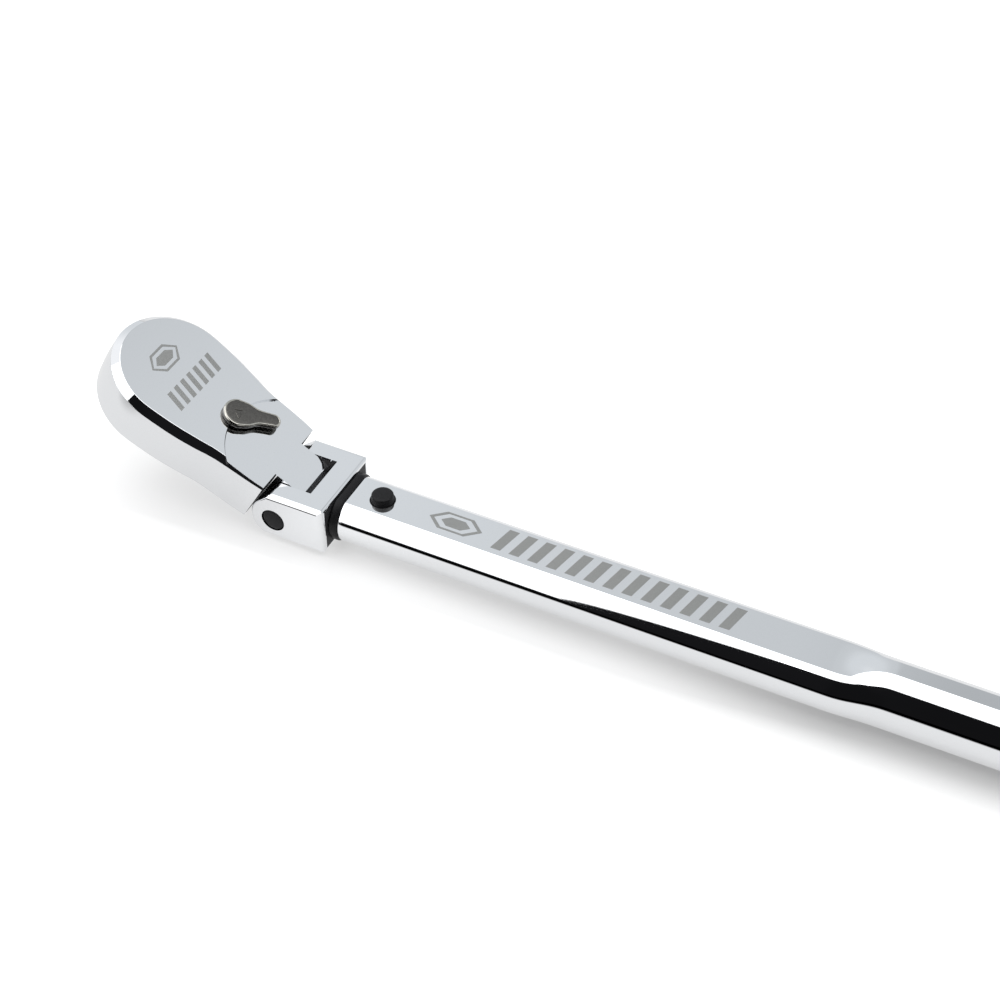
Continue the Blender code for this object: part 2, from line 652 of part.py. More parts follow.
def pawl_outline():
    """Rocker about the gear's centre: toothed wings, round back, cradle for the plunger.

    Angles run from the +X side of the gear; local origin is the gear's centre.
    """
    pitch = 360.0 / TEETH
    tilt = math.radians(PAWL_TILT)
    wings = []
    for side in (1, -1):
        wing = []
        for i in range(PAWL_TEETH):
            gap = PAWL_FIRST_GAP + i * pitch
            arm = PAWL_PIVOT_R * math.cos(math.radians(gap))
            middle = gap - math.degrees(tilt * (1 - arm / GEAR_TIP))
            for share, radius in ((-0.30, PAWL_ROOT), (-0.10, PAWL_TIP),
                                  (0.10, PAWL_TIP), (0.30, PAWL_ROOT)):
                angle = math.radians(side * (middle + share * pitch))
                wing.append((radius * math.cos(angle), radius * math.sin(angle)))
        wings.append(wing)
    plain = PAWL_FIRST_GAP - pitch
    front = list(reversed(wings[0])) + arc((0, 0), PAWL_PLAIN, plain, -plain, 8) + wings[1]
    lever = GEAR_A - LEVER_A
    cradle = PLUNGER_REACH + 0.4
    side_deg = 42.0
    back = arc((0, 0), PAWL_BACK, -PAWL_SPAN, -18.0, 6)
    back += arc((lever, 0), cradle, 180 + side_deg, 180 - side_deg, 8)
    back += arc((0, 0), PAWL_BACK, 18.0, PAWL_SPAN, 6)
    return front + back


def make_pawl_and_lever(parent):
    """Pawl, its pin, the thumb lever, its seal and snap ring, plunger and spring."""
    outline = pawl_outline()
    pawl = prism("pawl", [(x - PAWL_PIVOT_R, y) for x, y in outline], "Z",
                 PAWL_LOW, PAWL_HIGH)
    add_part(pawl, BRIGHT_STEEL, parent)
    cut(pawl, rod("pawl_bore", PAWL_PIN_R + 0.12, (0, 0, -10), (0, 0, 10), 20))
    pivot = Matrix.Translation(Vector((PAWL_PIVOT_R - GEAR_A, 0, 0)) * MM)
    tilt = Matrix.Rotation(math.radians(-PAWL_TILT), 4, "Z")
    pawl.data.transform(pivot @ tilt)
    bpy.data.objects["pawl_bore"].data.transform(pivot @ tilt)
    pin_x = PAWL_PIVOT_R - GEAR_A
    add_part(rod("pawl_pin", PAWL_PIN_R, (pin_x, 0, -4.3), (pin_x, 0, POCKET_TOP + 1.5), 20),
             BRIGHT_STEEL, parent)

    axis = (-LEVER_A, 0, 0)
    side = [(x, y) for x, y in smooth_through(LEVER_TAIL, 2)][1:]
    end_r = LEVER_TAIL[-1][1]
    centre_end = LEVER_LENGTH - end_r
    disc = arc((0, 0), LEVER_DISC, 90, 270, 14)
    lower = [(x, -y) for x, y in side if x < centre_end]
    upper = [(x, y) for x, y in reversed(side) if x < centre_end]
    lever = prism("reverse_lever",
                  disc + lower + arc((centre_end, 0), end_r, -80, 80, 6) + upper,
                  "Z", LEVER_LOW, LEVER_HIGH)
    turn = Matrix.Translation(Vector(axis) * MM)
    turn = turn @ Matrix.Rotation(math.radians(LEVER_DEG), 4, "Z")
    lever.data.transform(turn)
    add_part(lever, DARK_STEEL, parent)
    bevel(lever, 0.5, 2, 60.0)
    shaft = [(0, LEVER_LOW + 0.8), (SHAFT_R, LEVER_LOW + 0.8)]
    for groove_r, high, low in ((3.1, 9.2, 8.2), (3.2, 7.15, 6.25)):
        shaft += [(SHAFT_R, high), (groove_r, high), (groove_r, low), (SHAFT_R, low)]
    shaft += [(SHAFT_R, SHAFT_LOW), (0, SHAFT_LOW)]
    join(lever, turned("shaft", shaft, axis, (0, 0, 1), 36))
    point_at = Vector((-math.cos(math.radians(LEVER_DEG)), -math.sin(math.radians(LEVER_DEG)), 0))
    origin = Vector((-LEVER_A, 0, PLUNGER_C))
    cut(lever, rod("plunger_hole", PLUNGER_R + RUN, origin - point_at * 2.4,
                   origin + point_at * 8, 24))
    nose = origin + point_at * PLUNGER_REACH
    plunger = turned("pawl_plunger",
                     [(0, 0), (0.8, -0.2), (1.5, -0.9), (1.5, -3.0), (0, -3.0)],
                     nose, point_at, 24)
    add_part(plunger, BRIGHT_STEEL, parent)
    spring = coil("plunger_spring", 1.15, 0.35, origin - point_at * 2.2,
                  nose - point_at * 3.1, 5)
    add_part(spring, SPRING_STEEL, parent)
    add_part(turned("lever_seal", [(3.9, 9.05), (3.9, 8.35), (3.25, 8.35), (3.25, 9.05)],
                    axis, (0, 0, 1)), RUBBER, parent)
    wire = arc((-LEVER_A, 0), SHAFT_R + 0.45, 15, 345, 24)
    wire += arc((-LEVER_A, 0), SHAFT_R - 0.4, 345, 15, 24)
    add_part(prism("lever_snap_ring", wire, "Z", 6.4, 7.0), SPRING_STEEL, parent)


def empty(name, location, rotation):
    marker = bpy.data.objects.new(name, None)
    PARTS.objects.link(marker)
    marker.location = Vector(location) * MM
    marker.rotation_euler = rotation
    return marker


clear_scene()
PARTS = new_collection("ratchet_wrench")
CUTTERS = new_collection("cutters")

handle_frame = empty("handle_frame", (PIVOT_X, 0, PIVOT_Z), (0, 0, 0))
head_frame = empty("head_frame", (PIVOT_X, 0, PIVOT_Z), (0, math.radians(FLEX_DEG), 0))

make_handle_tube(handle_frame)
make_mouth_bushing(handle_frame)
make_end_cap(handle_frame)
make_lock(handle_frame)
make_yoke_bar(handle_frame)
make_yoke_small_pieces(handle_frame)
make_head_body(head_frame)
make_drive(head_frame)
make_pawl_and_lever(head_frame)
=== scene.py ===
"""Looks of the extending flex-head ratchet wrench.

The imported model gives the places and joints.  Every outer piece is made again
here as a fine surface, in two working frames that are read from the joints:

* tool frame: millimetres, x from the head pivot towards the grip, y across, z up
* head frame: millimetres, a from the pivot towards the head's tip, b across
  (same as y), c square to the head's top face
"""
import json
import math

import bmesh
import bpy
import numpy as np
from mathutils import Matrix, Vector


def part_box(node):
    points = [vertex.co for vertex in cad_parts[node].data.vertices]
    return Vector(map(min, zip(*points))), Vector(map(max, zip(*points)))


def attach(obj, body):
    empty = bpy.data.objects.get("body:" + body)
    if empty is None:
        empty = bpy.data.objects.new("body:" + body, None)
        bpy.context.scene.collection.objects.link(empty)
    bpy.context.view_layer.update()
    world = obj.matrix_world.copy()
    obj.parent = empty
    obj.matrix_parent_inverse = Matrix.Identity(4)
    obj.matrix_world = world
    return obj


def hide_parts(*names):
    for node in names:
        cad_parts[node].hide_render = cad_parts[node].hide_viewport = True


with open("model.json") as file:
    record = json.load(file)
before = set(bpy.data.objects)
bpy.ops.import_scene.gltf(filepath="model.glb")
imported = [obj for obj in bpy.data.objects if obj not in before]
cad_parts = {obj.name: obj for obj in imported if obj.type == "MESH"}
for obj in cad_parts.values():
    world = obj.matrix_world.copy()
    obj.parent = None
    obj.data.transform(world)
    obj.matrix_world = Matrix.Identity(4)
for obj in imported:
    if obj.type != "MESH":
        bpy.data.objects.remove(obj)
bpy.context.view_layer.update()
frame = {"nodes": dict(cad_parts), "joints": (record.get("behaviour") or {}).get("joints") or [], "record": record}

MM = 0.001
TAU = 2.0 * math.pi


# ---------------------------------------------------------------------------
# working frames, read from the joints
# ---------------------------------------------------------------------------
def joint(name):
    """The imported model's joint of that name."""
    return next(j for j in frame["joints"] if j["name"] == name)


PIVOT = Vector(joint("head_flex")["pos_m"])
HEAD_UP = Vector(joint("drive_spin")["axis"]).normalized()
HEAD_BACK = Vector((0, 1, 0)).cross(HEAD_UP)           # from the tip towards the pivot
GEAR_A = (PIVOT - Vector(joint("drive_spin")["pos_m"])).dot(HEAD_BACK) / MM
LEVER_A = (PIVOT - Vector(joint("lever_turn")["pos_m"])).dot(HEAD_BACK) / MM
TOOL_FRAME = Matrix.Translation(PIVOT) @ Matrix.Scale(MM, 4)
HEAD_FRAME = Matrix.Translation(PIVOT) @ Matrix((
    (-HEAD_BACK.x * MM, 0, HEAD_UP.x * MM, 0),
    (0, MM, 0, 0),
    (-HEAD_BACK.z * MM, 0, HEAD_UP.z * MM, 0),
    (0, 0, 0, 1)))
LEVER_TURN = 32.5                                      # the lever's angle off the tool's line
LEVER_FRAME = (HEAD_FRAME @ Matrix.Translation((LEVER_A, 0, 0)) @ Matrix.Scale(-1, 4, (1, 0, 0))
               @ Matrix.Rotation(math.radians(LEVER_TURN), 4, "Z"))
MID = (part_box("end_cap")[0].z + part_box("end_cap")[1].z) / 2 / MM - PIVOT.z / MM   # tool's mid height


def tool_x(node, end):
    """Lowest (0) or highest (1) x of a node, in the tool frame."""
    return (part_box(node)[end].x - PIVOT.x) / MM


TUBE_FRONT = tool_x("handle_tube", 0)
TUBE_REAR = tool_x("handle_tube", 1)
YOKE_FRONT = -8.15
CAP_END = tool_x("end_cap", 1)
BUTTON_X = (tool_x("lock_button", 0) + tool_x("lock_button", 1)) / 2


# ---------------------------------------------------------------------------
# mesh building
# ---------------------------------------------------------------------------
def to_object(name, points, faces, place, smooth=True):
    """Object at the origin whose mesh is the points, carried from a working frame to the world."""
    matrix = np.array(place, float)
    world = points @ matrix[:3, :3].T + matrix[:3, 3]
    mesh = bpy.data.meshes.new(name)
    mesh.from_pydata(world.tolist(), [], faces)
    if smooth:
        mesh.shade_smooth()
    piece = bpy.data.objects.new(name, mesh)
    bpy.context.scene.collection.objects.link(piece)
    tidy_normals(mesh)
    return piece


def tidy_normals(mesh):
    """Doubles merged, then every face turned outwards."""
    shape = bmesh.new()
    shape.from_mesh(mesh)
    bmesh.ops.remove_doubles(shape, verts=shape.verts, dist=1e-8)
    bmesh.ops.recalc_face_normals(shape, faces=shape.faces)
    shape.to_mesh(mesh)
    shape.free()


def ring_faces(rings, count, closed_rows):
    """Quads between neighbouring rings of points; rows join up too for a torus-like shape."""
    rows = np.arange(rings if closed_rows else rings - 1)[:, None]
    i = np.arange(count)[None, :]
    j = (i + 1) % count
    low = rows * count
    high = ((rows + 1) % rings) * count
    quads = np.stack(np.broadcast_arrays(low + i, low + j, high + j, high + i), axis=-1)
    return quads.reshape(-1, 4).tolist()


def skin(name, rings, place, caps=True, closed_rows=False):
    """Rings (rows, points, 3) joined by quads, with an n-gon over each end."""
    rows, count, _ = rings.shape
    faces = ring_faces(rows, count, closed_rows)
    if caps:
        faces.append(list(range(count))[::-1])
        faces.append([(rows - 1) * count + i for i in range(count)])
    return to_object(name, rings.reshape(-1, 3), faces, place)


def arc(centre, radius, start_deg, end_deg, count):
    """Points at equal angles along an arc, both ends included."""
    angle = np.radians(np.linspace(start_deg, end_deg, count + 1))
    return np.stack((centre[0] + radius * np.cos(angle), centre[1] + radius * np.sin(angle)), 1)


def smooth_through(stations, steps):
    """Catmull-Rom curve: each span is the cubic that leaves and meets its ends along the chord
    between their neighbours; past the last station the curve is taken as level."""
    p = np.array(stations, float)
    first = 2 * p[0] - p[1]
    last = np.array((2 * p[-1, 0] - p[-2, 0], p[-2, 1]))
    p = np.vstack((first, p, last))
    t = np.linspace(0, 1, steps, endpoint=False)[None, :, None]
    a, b, c, d = (p[i:len(p) - 3 + i, None, :] for i in range(4))
    curve = (2 * b + (c - a) * t + (2 * a - 5 * b + 4 * c - d) * t ** 2
             + (3 * b - a - 3 * c + d) * t ** 3) / 2
    return np.vstack((curve.reshape(-1, 2), p[-2]))


def inset(outline, depth):
    """Closed outline moved inwards by a depth along the bisector of its neighbouring edges."""
    edge = np.roll(outline, -1, 0) - outline
    edge /= np.linalg.norm(edge, axis=1)[:, None]
    left = np.stack((-edge[:, 1], edge[:, 0]), 1)
    before = np.roll(left, 1, 0)
    middle = left + before
    middle /= np.linalg.norm(middle, axis=1)[:, None]
    share = np.clip((middle * left).sum(1), 0.5, 1.0)
    area = 0.5 * np.sum(outline[:, 0] * np.roll(outline[:, 1], -1)
                        - outline[:, 1] * np.roll(outline[:, 0], -1))
    return outline + np.sign(area) * middle * (depth / share)[:, None]


def edge_profile(low, high, bottom, top, bow, steps):
    """(inset, height) points up the side of a plate.

    The lower edge is a quarter round and the upper one a 45 degree chamfer whose two corners are
    rounded by arcs of radius soft; the wall between bulges outwards by bow as a sine."""
    soft = 0.3
    turn = np.radians(np.linspace(0, 90, 9))
    foot = [(bottom * (1 - math.sin(a)), low + bottom * (1 - math.cos(a))) for a in turn]
    reach = soft * math.tan(math.radians(22.5))
    wall = np.linspace(low + bottom, high - top - reach, steps)[1:]
    share = (wall - low - bottom) / (wall[-1] - low - bottom)
    side = [(-bow * math.sin(math.pi * s), z) for s, z in zip(share, wall)]
    bend = np.radians(np.linspace(0, 45, 5))[1:]
    first = [(soft * (1 - math.cos(a)), high - top - reach + soft * math.sin(a)) for a in bend]
    last = [(top + reach - soft * math.sin(a), high - soft * (1 - math.cos(a)))
            for a in np.append(bend[::-1], 0.0)]
    return foot + side + first + last


def plate(name, outline, profile, place, axis="z"):
    """Outline carried up a profile of (inset, height): the wall of a plate, closed by flat faces."""
    rings = []
    for depth, height in profile:
        ring = inset(outline, depth)
        level = np.full((len(ring), 1), height)
        if axis == "z":
            rings.append(np.hstack((ring, level)))
        elif axis == "y":
            rings.append(np.hstack((ring[:, :1], level, ring[:, 1:])))
        else:
            rings.append(np.hstack((level, ring)))
    return skin(name, np.array(rings), place)


def lathe(name, profile, origin, direction, place, steps=96):
    """Profile of (radius, height) turned about a line; points at radius 0 close the poles."""
    profile = np.array(profile, float)
    angle = np.linspace(0, TAU, steps, endpoint=False)
    z = Vector(direction).normalized()
    x = z.orthogonal().normalized()
    y = z.cross(x)
    basis = np.array((x, y, z), float)
    radius = np.maximum(profile[:, 0], 1e-7)[:, None]
    local = np.stack((radius * np.cos(angle), radius * np.sin(angle),
                      np.broadcast_to(profile[:, 1:2], (len(profile), steps))), axis=-1)
    rings = local @ basis + np.array(origin, float)
    closed = profile[0, 0] > 0 and profile[-1, 0] > 0
    return skin(name, rings, place, caps=not closed, closed_rows=closed)


def cylinder(name, radius, start, end, place, steps=96):
    """Closed round bar from one point to another."""
    start, end = Vector(start), Vector(end)
    length = (end - start).length
    return lathe(name, [(0, 0), (radius, 0), (radius, length), (0, length)], start, end - start,
                 place, steps)


def box(name, x, y, z, place):
    """Block between two values along each axis."""
    corners = np.array([(i, j, k) for k in z for i, j in
                        ((x[0], y[0]), (x[1], y[0]), (x[1], y[1]), (x[0], y[1]))], float)
    faces = [(3, 2, 1, 0), (4, 5, 6, 7), (0, 1, 5, 4), (1, 2, 6, 5), (2, 3, 7, 6), (3, 0, 4, 7)]
    return to_object(name, corners, faces, place, smooth=False)


def carve(piece, operation, *tools):
    """Exact Boolean with each tool in turn, applied; the tools are removed."""
    for tool in tools:
        modifier = piece.modifiers.new("carve", "BOOLEAN")
        modifier.operation = operation
        modifier.solver = "EXACT"
        modifier.object = tool
        bpy.context.view_layer.update()
        graph = bpy.context.evaluated_depsgraph_get()
        mesh = bpy.data.meshes.new_from_object(piece.evaluated_get(graph))
        piece.modifiers.clear()
        piece.data = mesh
        bpy.data.objects.remove(tool, do_unlink=True)
    return piece


def soften(piece, width_mm, segments=2):
    """Small rounding on every crisp edge, and normals that keep flat faces flat."""
    piece.data.shade_smooth()
    edge = piece.modifiers.new("edges", "BEVEL")
    edge.width = width_mm * MM
    edge.segments = segments
    edge.limit_method = "ANGLE"
    edge.angle_limit = math.radians(32.0)
    edge.use_clamp_overlap = True
    edge.harden_normals = False
    flat = piece.modifiers.new("flat_faces", "WEIGHTED_NORMAL")
    flat.mode = "FACE_AREA"
    flat.weight = 50
    flat.keep_sharp = True
    return piece


def sharpen(piece, angle_deg):
    """Smooth shading that breaks at edges steeper than an angle."""
    piece.data.shade_smooth()
    piece.data.set_sharp_from_angle(angle=math.radians(angle_deg))
    return piece


def hand_over(piece, body, slot, finish, *nodes):
    """The piece rides on its body, takes its finish and stands for CAD nodes."""
    piece.data.materials.clear()
    piece.data.materials.append(finish)
    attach(piece, body)
    if nodes:
        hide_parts(*nodes)
    return piece


# ---------------------------------------------------------------------------
# finishes
# ---------------------------------------------------------------------------
def new_group(name, inputs, outputs):
    """Empty shader group with named sockets."""
    group = bpy.data.node_groups.new(name, "ShaderNodeTree")
    for label, kind, value in inputs:
        socket = group.interface.new_socket(name=label, in_out="INPUT", socket_type=kind)
        socket.default_value = value
    for label, kind in outputs:
        group.interface.new_socket(name=label, in_out="OUTPUT", socket_type=kind)
    start = group.nodes.new("NodeGroupInput")
    end = group.nodes.new("NodeGroupOutput")
    return group, start, end


def node(tree, kind, **settings):
    """Shader node of a kind with some of its settings."""
    made = tree.nodes.new("ShaderNode" + kind)
    for key, value in settings.items():
        setattr(made, key, value)
    return made


def surface_grain_group():
    """Fine grain: noise at a given size gives a roughness that varies about its middle value, a
    faint tone, and a shallow bump."""
    group, start, end = new_group(
        "surface_grain",
        [("Vector", "NodeSocketVector", (0, 0, 0)), ("Size", "NodeSocketFloat", 800.0),
         ("Roughness", "NodeSocketFloat", 0.1), ("Spread", "NodeSocketFloat", 0.05),
         ("Bump", "NodeSocketFloat", 0.05), ("Depth", "NodeSocketFloat", 0.00002)],
        [("Roughness", "NodeSocketFloat"), ("Tone", "NodeSocketFloat"), ("Normal", "NodeSocketVector")])
    link = group.links.new
    fine = node(group, "TexNoise", noise_dimensions="3D")
    fine.inputs["Detail"].default_value = 4.0
    link(start.outputs["Vector"], fine.inputs["Vector"])
    link(start.outputs["Size"], fine.inputs["Scale"])
    broad = node(group, "TexNoise", noise_dimensions="3D")
    broad.inputs["Scale"].default_value = 45.0
    broad.inputs["Detail"].default_value = 3.0
    link(start.outputs["Vector"], broad.inputs["Vector"])
    centred = node(group, "Math", operation="SUBTRACT")
    centred.inputs[1].default_value = 0.5
    link(broad.outputs["Fac"], centred.inputs[0])
    spread = node(group, "Math", operation="MULTIPLY_ADD")
    link(centred.outputs[0], spread.inputs[0])
    link(start.outputs["Spread"], spread.inputs[1])
    link(start.outputs["Roughness"], spread.inputs[2])
    link(spread.outputs[0], end.inputs["Roughness"])
    link(fine.outputs["Fac"], end.inputs["Tone"])
    bump = node(group, "Bump")
    link(start.outputs["Bump"], bump.inputs["Strength"])
    link(start.outputs["Depth"], bump.inputs["Distance"])
    link(fine.outputs["Fac"], bump.inputs["Height"])
    link(bump.outputs["Normal"], end.inputs["Normal"])
    return group


def metal(name, colour, roughness, spread, grain, bump, tone, metallic=1.0, depth=0.00002,
          specular=0.5):
    """Finish whose roughness, tone and surface vary with the shared grain."""
    material = bpy.data.materials.new(name)
    material.use_nodes = True
    tree = material.node_tree
    shader = tree.nodes["Principled BSDF"]
    shader.inputs["Metallic"].default_value = metallic
    shader.inputs["Specular IOR Level"].default_value = specular
    place = node(tree, "TexCoord")
    group = tree.nodes.new("ShaderNodeGroup")
    group.node_tree = GRAIN
    group.inputs["Size"].default_value = grain
    group.inputs["Roughness"].default_value = roughness
    group.inputs["Spread"].default_value = spread
    group.inputs["Bump"].default_value = bump
    group.inputs["Depth"].default_value = depth
    tree.links.new(place.outputs["Object"], group.inputs["Vector"])
    tree.links.new(group.outputs["Roughness"], shader.inputs["Roughness"])
    tree.links.new(group.outputs["Normal"], shader.inputs["Normal"])
    ramp = node(tree, "ValToRGB")
    low = [max(0.0, c * (1.0 - tone)) for c in colour]
    high = [min(1.0, c * (1.0 + tone)) for c in colour]
    for element, shade, position in zip(ramp.color_ramp.elements, (low, high), (0.3, 0.7)):
        element.color = (*shade, 1)
        element.position = position
    tree.links.new(group.outputs["Tone"], ramp.inputs["Fac"])
    tree.links.new(ramp.outputs["Color"], shader.inputs["Base Color"])
    return material


GRAIN = surface_grain_group()
CHROME = metal("polished_chrome", (0.86, 0.87, 0.885), 0.035, 0.02, 2500.0, 0.02, 0.01)
ETCHED = metal("etched_chrome", (0.345, 0.345, 0.335), 0.42, 0.08, 5000.0, 0.25, 0.08)
NICKEL = metal("dark_nickel", (0.125, 0.12, 0.112), 0.34, 0.10, 2200.0, 0.55, 0.25, depth=0.00006)
BRIGHT_NICKEL = metal("bright_nickel", (0.52, 0.505, 0.46), 0.14, 0.05, 2500.0, 0.05, 0.04)
BLACK = metal("black_oxide", (0.008, 0.008, 0.009), 0.38, 0.10, 3000.0, 0.25, 0.35,
              metallic=0.0, depth=0.00003, specular=0.16)
# painted shade: near-black matt sheets laid in the slot, on the yoke's back, at the foot of the head's step and on
# its shoulder, where those faces lie in shade
PAINTED_SHADE = metal("painted_shade", (0.03, 0.03, 0.032), 0.50, 0.10, 1800.0, 0.25, 0.20,
                   metallic=0.0, specular=0.2)
STEEL = metal("plain_steel", (0.56, 0.56, 0.55), 0.24, 0.10, 1800.0, 0.15, 0.08)
SPRING = metal("spring_steel", (0.36, 0.36, 0.37), 0.30, 0.10, 3000.0, 0.15, 0.12)
RUBBER = metal("seal_rubber", (0.02, 0.02, 0.02), 0.75, 0.10, 2500.0, 0.30, 0.30, metallic=0.0)


# ---------------------------------------------------------------------------
# handle
# ---------------------------------------------------------------------------
TUBE_R = (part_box("end_cap")[1].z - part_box("end_cap")[0].z) / 2 / MM
OVAL_W = (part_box("handle_tube")[1].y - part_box("handle_tube")[0].y) / 2 / MM
OVAL_H = 7.8
FLAT = 6.5
CORNER_R = 3.2                                         # where the flat turns into the round side
ROUND_FROM, ROUND_TO = 182.0, 202.0
WALL = 2.0
FLANGE_PROUD = 0.4
BUTTON_R = 3.75
STOPS, STOP_STEP = 7, 25.4


def tube_section(share, grow):
    """Section of the tube: a quarter of flat, corner arc and side arc, mirrored twice.

    share 0 is the flattened section and 1 the circle, whose angles are divided in the same counts
    so that the two blend point by point; grow is how far the section is moved outwards."""
    flat_steps, side_steps, corner_steps = 10, 22, 6
    side = ((OVAL_W - FLAT) ** 2 + OVAL_H ** 2) / (2 * (OVAL_W - FLAT))
    # centre of the corner circle that touches the flat and the side arc
    cz = OVAL_H - CORNER_R
    cy = OVAL_W - side + math.sqrt((side - CORNER_R) ** 2 - cz ** 2)
    end = math.degrees(math.atan2(cz, cy - (OVAL_W - side)))
    top = np.stack((np.linspace(0, cy, flat_steps, endpoint=False), np.full(flat_steps, OVAL_H)), 1)
    corner = arc((cy, cz), CORNER_R, 90.0, end, corner_steps)[:-1]
    flank = arc((OVAL_W - side, 0), side, end, 0.0, side_steps)
    flattened = np.vstack((top, corner, flank))
    turn = np.concatenate((np.linspace(90, 54, flat_steps, endpoint=False),
                           np.linspace(54, 45, corner_steps, endpoint=False),
                           np.linspace(45, 0, side_steps + 1)))
    rounded = np.stack((TUBE_R * np.cos(np.radians(turn)), TUBE_R * np.sin(np.radians(turn))), 1)
    quarter = (1 - share) * flattened + share * rounded
    lower = quarter[-2::-1] * (1, -1)
    right = np.vstack((quarter, lower))
    whole = np.vstack((right, right[-2:0:-1] * (-1, 1)))
    return inset(whole, -grow)


def round_share(x):
    """Smooth step from the flattened to the round part."""
    t = np.clip((x - ROUND_FROM) / (ROUND_TO - ROUND_FROM), 0, 1)
    return t * t * t * (10 - 15 * t + 6 * t * t)


def lock_bores(upper, lower):
    """Ways for the push button and for the lock's spring below it, with these radii."""
    return (cylinder("button_way", upper, (BUTTON_X, 0, MID), (BUTTON_X, 0, MID + 20), TOOL_FRAME, 64),
            cylinder("spring_way", lower, (BUTTON_X, 0, MID), (BUTTON_X, 0, MID - 20), TOOL_FRAME, 64))


def make_tube():
    """Sections along x: the outside with a small rounded lip at each end, and back along the bore."""
    lip = 0.55
    turn = np.radians(np.linspace(90, 0, 5))
    front = [(TUBE_FRONT + lip - lip * math.sin(a), -lip + lip * math.cos(a)) for a in turn]
    back = [(TUBE_REAR - lip + lip * math.sin(a), -lip + lip * math.cos(a)) for a in turn[::-1]]
    middle = [(x, 0.0) for x in np.concatenate((
        [TUBE_FRONT + 2, 60, 120, ROUND_FROM - 8],
        np.linspace(ROUND_FROM, ROUND_TO, 25), [ROUND_TO + 8, 260, 330]))]
    bore = [(TUBE_REAR, -WALL), (ROUND_TO, -WALL), (ROUND_FROM, -WALL), (TUBE_FRONT, -WALL)]
    rings = []
    for x, grow in front + middle + back + bore:
        section = tube_section(float(round_share(x)), grow)
        rings.append(np.hstack((np.full((len(section), 1), x), section + (0, MID))))
    tube = skin("handle_tube_surface", np.array(rings), TOOL_FRAME, caps=False, closed_rows=True)
    carve(tube, "DIFFERENCE", *lock_bores(3.85, 4.4))
    sharpen(tube, 40)
    return hand_over(tube, "handle", "polished_chrome", CHROME, "handle_tube")


def make_bushing():
    """Flange between yoke and tube with rounded rims, and the sleeve inside the tube's mouth, each
    the tube's section grown by some amount; the flat bar's way is carved through both."""
    x0, x1 = tool_x("mouth_bushing", 0), TUBE_FRONT - 0.05
    sleeve_end = tool_x("mouth_bushing", 1)
    rings = []
    for x, grow in ((x0, -0.7), (x0 + 0.12, -0.2), (x0 + 0.45, FLANGE_PROUD), (x1 - 0.7, FLANGE_PROUD),
                    (x1 - 0.25, 0.1), (x1, -0.3), (x1, -2.2), (sleeve_end, -2.3)):
        section = tube_section(0.0, grow)
        rings.append(np.hstack((np.full((len(section), 1), x), section + (0, MID))))
    piece = skin("mouth_flange", np.array(rings), TOOL_FRAME)
    carve(piece, "DIFFERENCE",
          box("bar_way", (x0 - 5, sleeve_end + 5), (-7.3, 7.3), (MID - 4.1, MID + 4.1), TOOL_FRAME),
          *lock_bores(3.83, 3.75))
    sharpen(piece, 50)
    return hand_over(piece, "handle", "black_oxide", BLACK, "mouth_bushing")


def make_end_cap():
    """Turned plug: a flat end with a rounded edge, a small groove against the tube's rim, and a
    stem inside the tube."""
    r, stem_r, stem = TUBE_R, TUBE_R - WALL - 0.4, 12
    length = CAP_END - TUBE_REAR
    profile = [(0, length), (r - 3.0, length), (r - 2.2, length - 0.1), (r - 0.9, length - 0.75),
               (r - 0.25, length - 1.7), (r - 0.05, length - 2.4), (r, 0.5), (r - 0.25, 0.15),
               (r - 0.5, 0.05), (stem_r, 0.05), (stem_r, -stem), (0, -stem)]
    cap = lathe("grip_end_cap", profile, (TUBE_REAR, 0, MID), (1, 0, 0), TOOL_FRAME)
    sharpen(cap, 45)
    return hand_over(cap, "handle", "black_oxide", BLACK, "end_cap")


def make_button():
    """Button with a rolled top edge and a slightly wider foot; a shallow black ring round it paints the shade of
    the gap.
    """
    top = (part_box("lock_button")[1].z - PIVOT.z) / MM
    low = (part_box("lock_button")[0].z - PIVOT.z) / MM
    r = BUTTON_R
    profile = [(0, top), (r - 1.3, top - 0.01), (r - 0.75, top - 0.06), (r - 0.4, top - 0.2),
               (r - 0.22, top - 0.45), (r - 0.18, top - 1.25), (r - 0.1, top - 1.4),
               (r, top - 1.5), (r, low), (0, low)]
    button = lathe("push_button", profile, (BUTTON_X, 0, 0), (0, 0, 1), TOOL_FRAME, 72)
    sharpen(button, 50)
    hand_over(button, "lock", "black_oxide", BLACK, "lock_button")
    face = MID + OVAL_H
    # painted shade: a thin black ring on the tube's face round the button stands in for the shade in the gap about
    # it
    rim = [(r + 0.05, face - 0.4), (r + 0.5, face - 0.4), (r + 0.45, face + 0.015), (r + 0.05, face + 0.02)]
    gap_shade = lathe("button_gap_shade", rim, (BUTTON_X, 0, 0), (0, 0, 1), TOOL_FRAME, 72)
    return hand_over(gap_shade, "handle", "black_oxide", BLACK)


# ---------------------------------------------------------------------------
# yoke
# ---------------------------------------------------------------------------
YOKE_W, YOKE_H, YOKE_REAR = 15.69, 8.75, 18.06
YOKE_LOW, YOKE_HIGH = MID - YOKE_H, MID + YOKE_H
NOSE_TURN = 50.0                    # the arms' fronts are round about the pin up to this angle
REAR_CORNER = 2.6
SLOT_W, SLOT_BACK = 8.45, 10.4
BAR_W, BAR_H = 7.2, 4.0
PIN_R = 4.0
SHADE_FILM = 0.05                       # how thin the dark sheets of painted shade are
